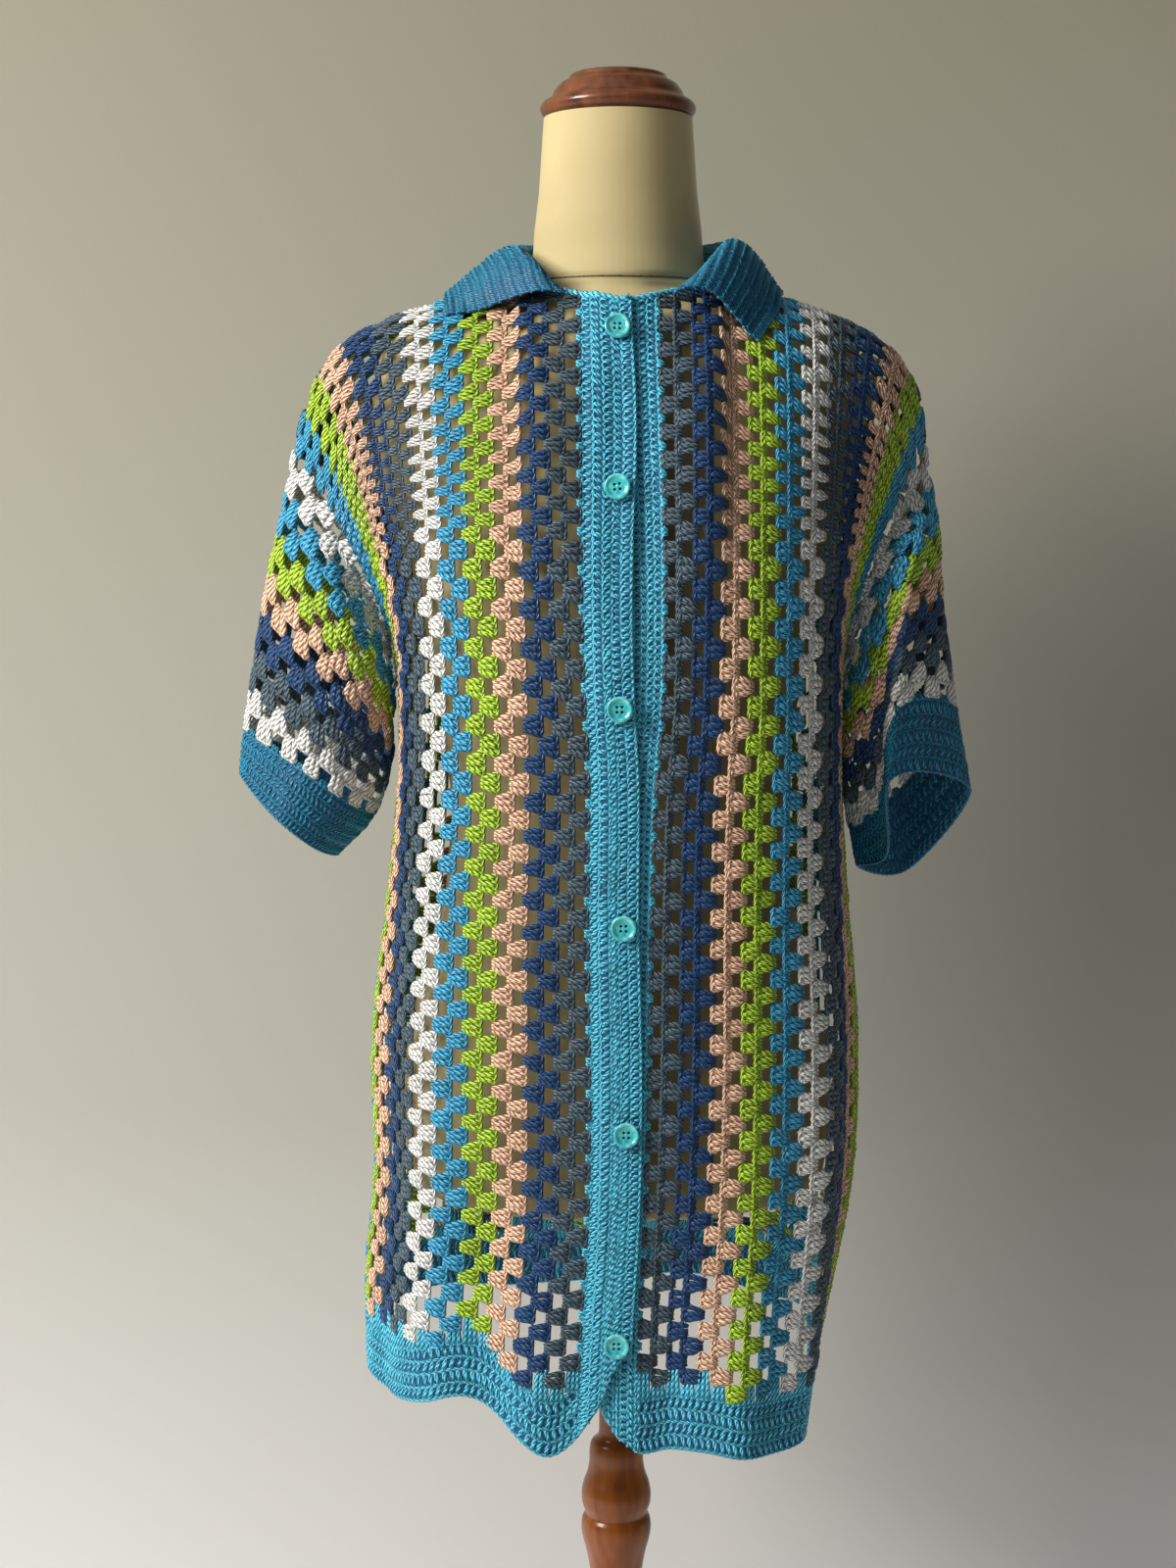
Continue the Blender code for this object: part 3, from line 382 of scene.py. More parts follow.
# Yarn colours, linear
YARNS = {
    # name: (lit colour with painted light on the tops of the plies, colour in painted shade in the grooves
    # between them)
    "slate": ((0.082, 0.140, 0.188), (0.007, 0.012, 0.018)),
    "navy": ((0.004, 0.066, 0.225), (0.001, 0.003, 0.014)),
    "peach": ((0.980, 0.650, 0.450), (0.260, 0.100, 0.050)),
    "lime": ((0.520, 0.780, 0.040), (0.036, 0.085, 0.001)),
    "turquoise": ((0.060, 0.480, 0.780), (0.002, 0.040, 0.095)),
    "white": ((0.950, 0.950, 0.920), (0.300, 0.310, 0.280)),
    "azure": ((0.125, 0.760, 1.000), (0.003, 0.065, 0.165)),
    # a darker copy of the azure yarn, as painted shade on the collar and cuffs
    "azure_painted_shade": ((0.010, 0.300, 0.500), (0.001, 0.030, 0.075)),
}
YARN_ORDER = list(YARNS)
# from the front band outward
FRONT_COLOURS = ("slate", "navy", "peach", "lime", "turquoise", "white") * 2
# from a side seam to the centre stripe
BACK_COLOURS = ("navy", "slate", "white", "turquoise", "lime", "peach") * 2
# from the seam to the cuff
SLEEVE_COLOURS = ("white", "turquoise", "lime", "peach", "navy", "slate", "white")

# Counts of rows and of clusters or stitches in a row
FRONT_ROWS = 2 * FRONT_STRIPES
BACK_ROWS = 46
SLEEVE_ROWS = 14
CLUSTERS_ROUND = 13
BAND_ROWS, BAND_STITCHES = 5, 150
HEM_ROWS, HEM_STITCHES = 4, 50
CUFF_ROWS, CUFF_STITCHES = 5, 66
COLLAR_ROWS, COLLAR_STITCHES = 11, 130

# How the rows of clusters lie down the body: evenly from the top edge, then at shared heights
TOP_PITCH = 0.0189
MOST_CLUSTERS = 41
CLUSTER_HEIGHTS = (
    # height, clusters below the one at the chest
    (0.6000, 28.5),
    (0.7402, 22.0),
    (1.0635, 7.0),
    (1.2405, 0.0),
    (1.4000, -8.4),
)
# where the shared heights start to hold and over what height they take over
LEVEL_HIGH = 1.330
LEVEL_BELOW_TOP = 0.03
LEVEL_BY = 0.110
JOIN_Z = 1.270
# how far a row's first cluster may rise above the edge, and how much room its last one needs
FIRST_CLUSTER = 0.1
LAST_CLUSTER = 0.24

# One cluster: three posts that fan out of one space, under a line of loops
FAN_POSTS = (-1, 0, 1)
FAN_STEPS = np.linspace(0.0, 1.0, 5)
FAN_FOOT = -0.42
FAN_TOP = 0.84
FOOT_SPREAD = 0.095
TOP_SPREAD = 0.222
SPREAD_POWER = 0.6
OUTER_SHORTER = 0.01
OUTER_LOWER = 0.0004
POST_LIFT = 0.0005
POST_ARCH = 0.0006
# half widths of a post as shares of the spacing of the clusters
POST_WIDE = np.array([0.066, 0.086, 0.100, 0.112, 0.122])
POST_THICK = np.array([0.0012, 0.0017, 0.0018, 0.0019, 0.0015])
POST_SIDES = 5
LOOP_STEPS = np.linspace(-1.0, 1.0, 6)
LOOP_HALF = 0.32
LOOP_WIDE = 0.0014
LOOP_LIFT = 0.0008
LOOP_ABOVE = 0.02
LOOP_SAG = 0.14
LOOP_BULGE = 0.25
LOOPS_ACROSS = 3
# how much the clusters vary, as shares of their size, and metres for the rise
LEAN_VARIES = 0.04
SIZE_VARIES = 0.05
WANDER = 0.012
KNOBS_VARY = 0.07
RISE_VARIES = 0.0003

# The short stitches of a trim that reach in between the clusters beside it
TOOTH_STEPS = np.linspace(0.0, 1.0, 3)
TOOTH_WIDE = 0.0021
TOOTH_REACH = 0.36
TOOTH_LIFT = 0.0002
TOOTH_TAPER = 0.25
TEETH_ASIDE = 0.10
TEETH_LEAN = 0.6
HEM_TEETH = (-0.33, 0.0, 0.33)
HEM_TEETH_LEAN = 0.25
HEM_TEETH_FROM = 0.05
HEM_TEETH_PAST = 0.12

# One close stitch of the trims
STITCH_STEPS = np.linspace(0.0, 1.0, 3)
STITCH_THICK = 0.0015
STITCH_WIDE = 0.36
STITCH_TAPER = 0.35
STITCH_WIDEST = 0.35
STITCH_FROM = 0.08
STITCH_REACH = 0.84
STITCH_ARCH = 0.0004
STITCH_WANDER = 0.07
STITCH_RISE_VARIES = 0.0002
BAND_SLANT = 0.4
TRIM_SLANT = 0.5
CORD_RADIUS = 0.0012
CORD_SWELL = 0.22
RIB_LIFT = 0.0004
BACKING = 0.0010

# The raised lines of loops up the stripes of the left front
RIDGE_LOOPS = 4
RIDGE_LIFT = 0.0011
RIDGE_RADIUS = 0.0013
RIDGE_SHORT = 0.6

# The edging along the neckline
EDGING_LOOPS = 12
EDGING_RADIUS = 0.0024
EDGING_SWELL = 0.18
# how far below the edge its middle lies, by the panels' own measure from 0 to 2
EDGING_V = 0.002

# The plies seen on a tube: millimetres along it for one turn, and plies round it
STRAND_RUN = 4.4
STRANDS_ROUND = 4.5
# how far the plies wander and how round they are, and how much plies, tone and fuzz show; plies and tone move
# the colour between painted shade and painted light
STRAND_DRIFT = 3.0
STRAND_ROUNDNESS = 0.85
STRAND_SHADE = 0.70
TONE_SHADE = 0.45
FUZZ_RELIEF = 0.35
# where the ramp from the painted shade colour to the lit one has its stops, and the lit share of the middle
# one
YARN_STOPS = (0.40, 0.60, 0.82)
YARN_MIDDLE = 0.4

# Woods: dark colour, light colour, and how the grain is stretched along each axis
CAP_WOOD = ((0.055, 0.014, 0.005), (0.200, 0.060, 0.020), (1.0, 1.0, 0.3))
STAND_WOOD = ((0.130, 0.028, 0.002), (0.340, 0.095, 0.006), (1.0, 1.0, 0.12))
GRAIN_SHARE = 0.55

# The buttons' shell
PEARL_COLOURS = (
    # share of the swirl, colour
    (0.30, (0.020, 0.300, 0.340)),
    (0.55, (0.060, 0.520, 0.540)),
    (0.80, (0.330, 0.780, 0.760)),
)
PEARL_ROUGHNESS = 0.12
PEARL_ROUGHNESS_VARIES = 0.15

# How the visual pieces differ from the plain solids
BAND_SPREAD = 0.0065
BAND_SPREAD_FULL = 0.5
BUTTON_ACROSS = 0.70
# the collar is kept clear of the upper panels from this share of its width
COLLAR_CLEAR_FROM = 0.24
CLEAR_STEPS, CLEAR_V, CLEAR_ROUNDS = 41, 0.5, 2
NECK_SEAM_Z = 1.4085
NECK_SEAM_RADIUS = 0.0006
NECK_TAPER = ((1.420, 1.0), (1.440, 1.01), (1.520, 0.925))
# height and least squareness of the form just below the seam
SEAM_ROUND = ((1.3770, 1.2), (1.3908, 1.4), (1.4022, 1.5), (1.4070, 1.85))
CREASE = 0.45
# how far down the column beside the neck the tops of the other columns are matched
NECK_SEARCH = np.linspace(0.0, 0.2, 401)

# Steps of the surfaces, columns across a piece and rows along it, and of the sheets and tubes
DOWN_THE_BODY = np.linspace(0.0, 2.0, 322)
SECTION_STEPS = 97
EDGE_STEPS = 241
SEAM_POINTS = 96
FRONT_COLUMNS, BACK_COLUMNS = 73, 137
BAND_COLUMNS, BAND_GRID = 13, (9, 200)
HEM_STEPS, HEM_GRID_ROWS = 17, 7
SLEEVE_COLUMNS, SLEEVE_STEPS = 97, 61
COLLAR_COLUMNS, COLLAR_STEPS = 109, 33
COLLAR_GRID_ROWS = 19
BUTTON_SEARCH_STEPS = 801
TUBE_SIDES = 4
THREAD_SIDES = 6
LATHE_STEPS, BUTTON_STEPS = 72, 40
FORM_STEPS, FORM_LEVEL_STEPS = 96, 3
MILLIMETRES = 1000.0
NET_SEED, TRIM_SEED = 7, 11

# Angles in degrees from which an edge is drawn sharp
SHARP, BUTTON_SHARP, FORM_SHARP, NEVER_SHARP = 50.0, 40.0, 60.0, 180.0

# The studio: a floor and a wall with a round corner between them
STUDIO_WALL_Y, STUDIO_CORNER = 0.32, 0.08
STUDIO_FRONT_Y, STUDIO_TOP, STUDIO_HALF = -3.2, 3.4, 3.5
# The colour of the floor and wall by height: darker higher up, as painted shade where the lamps' light falls
# off
STUDIO_FALLOFF_TONES = (
    # share of the height, colour
    (0.03, (0.86, 0.86, 0.87)),
    (0.42, (0.43, 0.42, 0.37)),
    (0.95, (0.245, 0.235, 0.17)),
)
STUDIO_FALLOFF_TOP = 1.9
PAINT_VARIES = 0.06
LIGHTS = (
    # name, place, size, power, colour
    ("window", (-2.3, -1.3, 2.5), (1.0, 1.3), 134.0, (1.0, 0.975, 0.93)),
    ("room", (1.6, -2.6, 1.7), (2.4, 2.2), 0.5, (0.98, 0.98, 1.0)),
    ("hall", (0.9, 2.7, 2.0), (2.2, 1.8), 26.0, (1.0, 0.98, 0.95)),
    ("ceiling", (-0.5, -0.9, 2.9), (2.2, 2.0), 8.0, (1.0, 0.99, 0.97)),
)
LIGHTS_AIM = (0.0, 0.0, 1.05)
SKY_COLOUR, SKY_STRENGTH = (0.94, 0.96, 1.0, 1.0), 0.10
CAMERA_PLACE = (-0.0206, -1.649, 1.25)
CAMERA_DOWN = 6.5
CAMERA_LENS, CAMERA_SENSOR = 54.0, 36.0


def smooth_through(rows, column, at):
    """A smooth curve through one column of a table, read at the values of its first column."""
    table = np.array(sorted([tuple(r[:1]) + (r[column],) for r in rows]), float)
    x, y = table[:, 0], table[:, 1]
    slope = np.gradient(y, x)
    at = np.clip(np.asarray(at, float), x[0], x[-1])
    k = np.clip(np.searchsorted(x, at, side="right") - 1, 0, len(x) - 2)
    span = x[k + 1] - x[k]
    t = (at - x[k]) / span
    return hermite(y[k], y[k + 1], slope[k] * span, slope[k + 1] * span, t)


def hermite(start, end, leave, arrive, t):
    """A cubic from start to end that leaves and arrives along the two directions given."""
    return (
        (2 * t**3 - 3 * t**2 + 1) * start
        + (t**3 - 2 * t**2 + t) * leave
        + (3 * t**2 - 2 * t**3) * end
        + (t**3 - t**2) * arrive
    )


def ease(t):
    t = np.clip(t, 0.0, 1.0)
    return t * t * (3.0 - 2.0 * t)


def unit(vectors):
    return vectors / np.maximum(np.linalg.norm(vectors, axis=-1, keepdims=True), 1e-12)


def grids(first, second):
    """Two numbers or arrays as arrays of floats of one shape."""
    return np.broadcast_arrays(np.asarray(first, float), np.asarray(second, float))


def read_line(at, places, line):
    """Points between those of a line, read by the places of its points."""
    return np.stack([np.interp(at, places, line[:, axis]) for axis in range(3)], axis=-1)


def run_along(points):
    """Length along each line of points, from 0 at its first point."""
    steps = np.linalg.norm(np.diff(points, axis=-2), axis=-1)
    return np.concatenate([np.zeros(steps.shape[:-1] + (1,)), np.cumsum(steps, axis=-1)], axis=-1)


# Body of the garment


def quarter_section(half_width, depth, squareness, share):
    """Point and outward normal at a share of the way along a quarter section, from its front to its side."""
    turns = np.linspace(0.0, math.pi / 2, SECTION_STEPS)
    power = 2.0 / squareness[..., None]
    x = half_width[..., None] * np.sin(turns) ** power
    y = depth[..., None] * np.clip(np.cos(turns), 0.0, 1.0) ** power
    run = np.concatenate(
        [np.zeros(x.shape[:-1] + (1,)), np.cumsum(np.hypot(np.diff(x), np.diff(y)), axis=-1)], axis=-1
    )
    wanted = share * run[..., -1]
    k = np.clip((run < wanted[..., None]).sum(axis=-1) - 1, 0, len(turns) - 2)

    def pick(values, index):
        return np.take_along_axis(values, index[..., None], axis=-1)[..., 0]

    t = (wanted - pick(run, k)) / np.maximum(pick(run, k + 1) - pick(run, k), 1e-9)
    point = [pick(v, k) + t * (pick(v, k + 1) - pick(v, k)) for v in (x, y)]
    push = [np.maximum(v, 0.0) / size for v, size in zip(point, (half_width, depth))]
    normal = [p ** (squareness - 1) / size for p, size in zip(push, (half_width, depth))]
    length = np.hypot(*normal)
    return point[0], point[1], normal[0] / length, normal[1] / length


def ring_point(side, face, s, z):
    """Middle of the cloth below the arms, s metres of cloth from the centre line at the height z."""
    s, z = grids(s, z)
    centre = smooth_through(BODY_LEVELS, 1, z)
    half_width = smooth_through(BODY_LEVELS, 2 if side == RIGHT else 3, z)
    depth = smooth_through(BODY_LEVELS, 4 if face == FRONT else 5, z)
    squareness = smooth_through(BODY_LEVELS, 6 if side == RIGHT else 7, z)
    gape = smooth_through(BODY_LEVELS, 8, z) if face == FRONT else 0.0
    share = (s + gape * np.clip(1.0 - s / PANEL, 0.0, 1.0) ** 2) / PANEL
    across = np.abs(share)
    x, y, nx, ny = quarter_section(half_width, depth, squareness, np.clip(across, 0.0, 1.0))
    x = x * np.sign(share)
    push = np.zeros_like(x)
    for fold_side, fold_face, at, width, height, top, full in FOLDS:
        if (fold_side, fold_face) == (side, face):
            push += height * np.exp(-(((s - at) / width) ** 2)) * ease((top - z) / (top - full))
    # Near the side seam both faces share one line, so a fold dies out there and at the centre line
    push *= ease((PANEL - s) / FOLD_MARGIN) * ease(s / FOLD_MARGIN)
    return np.stack(
        [centre + side * (x + nx * push), face * (y + ny * push), z], axis=-1
    )


def shoulder_point(side, face, s):
    """Top edge of a panel: the neckline up to NECK_S, then the shoulder line to the sleeve seam."""
    s = np.asarray(s, float)
    line = np.array(SHOULDER[side])
    run = run_along(line)
    beyond = np.clip((s - NECK_S) / (PANEL - NECK_S), 0.0, 1.0)
    along = run[-1] * ((1.0 - SHOULDER_CROWDING) * beyond + SHOULDER_CROWDING * beyond**3)
    rows = [(r, x, z) for r, (x, z) in zip(run, line)]
    ridge = np.stack(
        [side * smooth_through(rows, 1, along), np.zeros_like(s), smooth_through(rows, 2, along)], axis=-1
    )
    depth, low = NECK_FRONT if face == FRONT else NECK_BACK
    turn = np.clip(s / NECK_S, -1.0, 1.0) * math.pi / 2
    x = NECK_HALF * (NECK_ROUNDNESS * np.sin(turn) + (1.0 - NECK_ROUNDNESS) * turn / (math.pi / 2))
    # The neckline is squarer than an ellipse, to pass round the foot of the neck
    ahead = np.clip(np.cos(turn), 0.0, 1.0) ** NECK_SQUARENESS
    z = low + (NECK_Z - low) * (1.0 - ahead) ** NECK_RISE
    neck = np.stack([side * x, face * depth * ahead, z], axis=-1)
    return np.where((s < NECK_S)[..., None], neck, ridge)


def body_point(side, face, s, v):
    """Middle of the cloth: v runs from 0 at the shoulder or neck to 1 at the underarm and 2 at the bottom."""
    s, v = grids(s, v)
    hem = smooth_through(HEM[side, face], 1, s)
    below = np.clip(v - 1.0, 0.0, 1.0)
    low = ring_point(side, face, s, UNDERARM_Z + (hem - UNDERARM_Z) * below)
    start = shoulder_point(side, face, s)
    end = ring_point(side, face, s, UNDERARM_Z)
    step = 0.01
    arrive = unit(ring_point(side, face, s, UNDERARM_Z - step) - end)
    # Towards the side seam the cloth arrives from the front or back, so that the armhole ends in an open V
    spread = np.clip((s - FLARE_FROM) / (PANEL - FLARE_FROM), 0.0, 1.0)[..., None] ** 2
    arrive = unit(arrive + spread * np.array([0.0, -face * FLARE, 0.0]))
    turn = np.clip(np.abs(s) / NECK_S, 0.0, 1.0) * math.pi / 2
    dip = NECK_DIP * np.cos(turn)
    leave = np.stack([np.zeros_like(s), face * np.cos(dip), -np.sin(dip)], axis=-1)
    tip = np.clip((s - NECK_S) / (PANEL - NECK_S), 0.0, 1.0)[..., None] ** 3
    leave = unit(leave * (1.0 - tip) + tip * np.array(TIP_LEAVE) * np.array([-side, face, 1.0]))
    # The loose cloth stands further off over the chest than at the armhole
    edge = np.clip((s - CHEST_EDGE) / (PANEL - CHEST_EDGE), 0.0, 1.0)[..., None]
    leave_by = (LEAVE_BY + (LEAVE_BY_EDGE - LEAVE_BY) * edge) * (0.5 + 0.5 * np.sin(turn))[..., None]
    arrive_by = ARRIVE_BY + (ARRIVE_BY_EDGE - ARRIVE_BY) * edge
    above = np.clip(v, 0.0, 1.0)[..., None]
    high = hermite(start, end, leave * leave_by, arrive * arrive_by, above)
    return np.where((v > 1.0)[..., None], low, high)


def surface_normal(surface, across, down, outward):
    """Outward normal of a surface function by small steps to each side."""
    step = 2e-4
    du = surface(across + step, down) - surface(across - step, down)
    dv = surface(across, down + step) - surface(across, down - step)
    normal = unit(np.cross(du, dv))
    return normal * np.sign((normal * outward).sum(axis=-1, keepdims=True))


def body_normal(side, face, s, v):
    s, v = grids(s, v)
    inset = 4e-4
    s_in = np.minimum(s, PANEL - inset)
    v_in = np.clip(v, inset, 2.0 - inset)
    here = body_point(side, face, s_in, v_in)
    core = np.stack([CORE_SPREAD * here[..., 0], 0.0 * s, np.minimum(here[..., 2], CORE_TOP)], axis=-1)
    normal = surface_normal(partial(body_point, side, face), s_in, v_in, here - core)
    # At the shoulder seam and the side seam both faces share one normal
    flat = normal * np.array([1.0, 0.0, 1.0])
    shared = ((v <= 0.0) & (s >= NECK_S)) | ((s >= PANEL - SEAM_GAP) & (v >= 1.0))
    return unit(np.where(shared[..., None], flat, normal))


def border_top(side, face, s):
    """The v at which the hem border starts."""
    hem = smooth_through(HEM[side, face], 1, s)
    return 2.0 - (BORDER + SEAM_GAP) / (UNDERARM_Z - hem)


def band_lift(s):
    """How far the buttonhole band rises over the button band below it."""
    return (WALL + 3 * SEAM_GAP) * ease((BAND_EDGE - s) / BAND_RISE)


def armhole(side, count):
    """Points, cloth normals and outward directions round the sleeve seam, from its top down the front."""
    v = np.linspace(0.0, 1.0, EDGE_STEPS)
    halves = []
    for face in (FRONT, BACK):
        edge, normal = [read(side, face, PANEL, v) for read in (body_point, body_normal)]
        run = run_along(edge)
        halves.append((edge, normal, run / run[-1]))
    turn = np.arange(count) / count
    points, normals = np.empty((count, 3)), np.empty((count, 3))
    for i, t in enumerate(turn):
        edge, normal, run = halves[0] if t <= 0.5 else halves[1]
        share = 2 * t if t <= 0.5 else 2 * (1 - t)
        points[i], normals[i] = read_line(share, run, edge), read_line(share, run, normal)
    for i in (0, count // 2):
        normals[i, 1] = 0.0
    normals = unit(normals)
    tangents = unit(np.roll(points, -1, axis=0) - np.roll(points, 1, axis=0))
    away = unit(np.cross(tangents, normals))
    away *= np.sign((away[:, 0] * side).sum())
    # Low down the sleeve comes straight out of the armhole, so its wall stands inside the edge there
    low = low_share(turn)[:, None]
    points = points + away * (SEAM_GAP + low * (WALL / 2 + LOW_CLEARANCE))
    leave = away * SLEEVE_LEAVE * (1.0 - low) + low * np.array([side * LOW_LEAVE, 0.0, 0.0])
    return points, normals, leave


def low_share(turn):
    """1 at the underarm, 0 over the top half of the sleeve seam."""
    return ease(1.0 - np.abs((np.asarray(turn, float) % 1.0) - 0.5) / LOW_SPREAD)


def round_ring(points, turn):
    """A smooth closed curve through the points of one ring row."""
    turns = np.array(RING_TURNS)
    knots = np.concatenate([turns[-2:] - 1.0, turns, turns[:2] + 1.0])
    values = np.array(points)[[-2, -1, 0, 1, 2, 3, 4, 0, 1]]
    rows = [(k, *p) for k, p in zip(knots, values)]
    return np.stack([smooth_through(rows, column, turn) for column in (1, 2, 3)], axis=-1)


def sleeve_point(side, turn, w):
    """Middle of the sleeve's cloth: turn goes once round it, w from 0 at the seam to 4 at the cuff's edge."""
    turn, w = grids(turn, w)
    around = turn % 1.0
    points, _, leave = SEAMS[side]
    count = len(points)
    knots = np.arange(count + 1) / count
    start, leave = [read_line(around, knots, np.concatenate([a, a[:1]])) for a in (points, leave)]
    mirror = np.array([side, 1.0, 1.0])
    rings = [start] + [round_ring(row, around) * mirror for row in SLEEVE_RINGS[side]]
    slopes = [leave]
    slopes += [(rings[i + 1] - rings[i - 1]) / 2 for i in (1, 2, 3)]
    slopes += [rings[4] - rings[3]]
    result = np.zeros_like(start)
    for i in range(4):
        t = np.clip(w - i, 0.0, 1.0)[..., None]
        inside = ((w >= i) & ((w < i + 1) | (i == 3)))[..., None]
        result = np.where(inside, hermite(rings[i], rings[i + 1], slopes[i], slopes[i + 1], t), result)
    return result


def sleeve_normal(side, turn, w):
    turn, w = grids(turn, w)
    inset, step = 1e-3, 5e-3
    w_in = np.clip(w, inset, CUFF_END - inset)
    here = sleeve_point(side, turn, w_in)
    centre = np.mean([sleeve_point(side, share, w_in) for share in np.arange(8) / 8], axis=0)
    du = sleeve_point(side, turn + step, w_in) - sleeve_point(side, turn - step, w_in)
    dv = sleeve_point(side, turn, w_in + inset) - sleeve_point(side, turn, w_in - inset)
    normal = unit(np.cross(du, dv))
    flip = np.sign((normal * (here - centre)).sum(axis=-1, keepdims=True).sum())
    normal = normal * flip
    _, seam_normals, _ = SEAMS[side]
    count = len(seam_normals)
    knots = np.arange(count + 1) / count
    at_seam = read_line(turn % 1.0, knots, np.concatenate([seam_normals, seam_normals[:1]]))
    share = (ease(1.0 - w / SEAM_BLEND) * (1.0 - low_share(turn)))[..., None]
    return unit(normal * (1.0 - share) + at_seam * share)


def collar_point(c, q):
    """Middle of the collar: c runs along it from -1 at the right tip to 1 at the left, q across it."""
    c, q = grids(c, q)
    sections = []
    for side in (RIGHT, LEFT):
        rows = [np.array(row) * np.array([side, 1.0, 1.0]) for row in COLLAR_SECTIONS[side]]
        sections.append(rows)
    rows = sections[0] + [np.array(COLLAR_BACK)] + sections[1][::-1]
    places = np.linspace(-1.0, 1.0, len(rows))
    corners = []
    for corner in range(3):
        table = [(place, *row[corner]) for place, row in zip(places, rows)]
        corners.append(np.stack([smooth_through(table, axis, c) for axis in (1, 2, 3)], axis=-1))
    foot, roll, edge = corners
    out = unit((edge - foot) * np.array([1.0, 1.0, 0.0]))
    height = roll[..., 2:3] - foot[..., 2:3]
    rise = height * np.array([0.0, 0.0, COLLAR_RISE])
    fall = (edge - roll) * COLLAR_FALL
    up = np.clip(q / COLLAR_TOP, 0, 1)[..., None]
    down = np.clip((q - COLLAR_TOP) / (1 - COLLAR_TOP), 0, 1)[..., None]
    first = hermite(foot, roll, rise, out * COLLAR_ROLL_IN, up)
    second = hermite(roll, edge, out * COLLAR_ROLL_OUT, fall, down)
    return np.where((q > COLLAR_TOP)[..., None], second, first)


def collar_normal(c, q):
    c, q = grids(c, q)
    inset = 1e-3
    c_in, q_in = np.clip(c, -1 + inset, 1 - inset), np.clip(q, inset, 1 - inset)
    du = collar_point(c_in + inset, q_in) - collar_point(c_in - inset, q_in)
    dv = collar_point(c_in, q_in + inset) - collar_point(c_in, q_in - inset)
    return unit(np.cross(dv, du))


def clear_of_panels(points, clearance):
    """The points, each moved out until it stands clear of the front and back panels."""
    s, v = np.meshgrid(np.linspace(0.0, PANEL, CLEAR_STEPS), np.linspace(0.0, CLEAR_V, CLEAR_STEPS))
    cloth, normals = [], []
    for side in (RIGHT, LEFT):
        for face in (FRONT, BACK):
            cloth.append(body_point(side, face, s, v).reshape(-1, 3))
            normals.append(body_normal(side, face, s, v).reshape(-1, 3))
    cloth, normals = np.concatenate(cloth), np.concatenate(normals)
    flat = points.reshape(-1, 3).copy()
    for _ in range(CLEAR_ROUNDS):
        nearest = [int(np.argmin(((cloth - p) ** 2).sum(axis=1))) for p in flat]
        height = ((flat - cloth[nearest]) * normals[nearest]).sum(axis=1)
        flat += normals[nearest] * np.maximum(clearance - height, 0.0)[:, None]
    return flat.reshape(points.shape)


# Charts: surfaces read by two shares from 0 to 1, evenly spaced along the second


def respace(grids, places, wanted):
    """Moves each line of the grids from its places to the wanted ones."""
    for i, line in enumerate(places):
        for grid in grids:
            for axis in range(3):
                grid[i, :, axis] = np.interp(wanted, line, grid[i, :, axis])


def chart(point_at, normal_at, firsts, seconds, wraps=False):
    """A grid of points and normals on a surface, spaced evenly along its second direction."""
    a, b = np.meshgrid(firsts, seconds, indexing="ij")
    points, normals = point_at(a, b), normal_at(a, b)
    run = run_along(points)
    respace((points, normals), run / run[:, -1:], np.linspace(0.0, 1.0, len(seconds)))
    return points, unit(normals), wraps


def read_chart(surface, i, j):
    """Points and normals of a chart at shares i and j."""
    points, normals, wraps = surface
    i, j = grids(i, j)
    i = i % 1.0 if wraps else np.clip(i, 0.0, 1.0)
    x, y = i * (points.shape[0] - 1), np.clip(j, 0.0, 1.0) * (points.shape[1] - 1)
    a = np.minimum(x.astype(int), points.shape[0] - 2)
    b = np.minimum(y.astype(int), points.shape[1] - 2)
    u, v = (x - a)[..., None], (y - b)[..., None]

    def blended(grid):
        low = grid[a, b] * (1.0 - v) + grid[a, b + 1] * v
        high = grid[a + 1, b] * (1.0 - v) + grid[a + 1, b + 1] * v
        return low * (1.0 - u) + high * u

    return blended(points), unit(blended(normals))


# Yarn: tubes gathered into one mesh


def new_work():
    gathered = {key: [] for key in ("points", "quads", "caps", "quad_uv", "cap_uv", "quad_yarn", "cap_yarn")}
    gathered["count"] = 0
    return gathered


def whole_turn(steps):
    """Angles once round, evenly spaced."""
    return np.arange(steps) * 2 * math.pi / steps


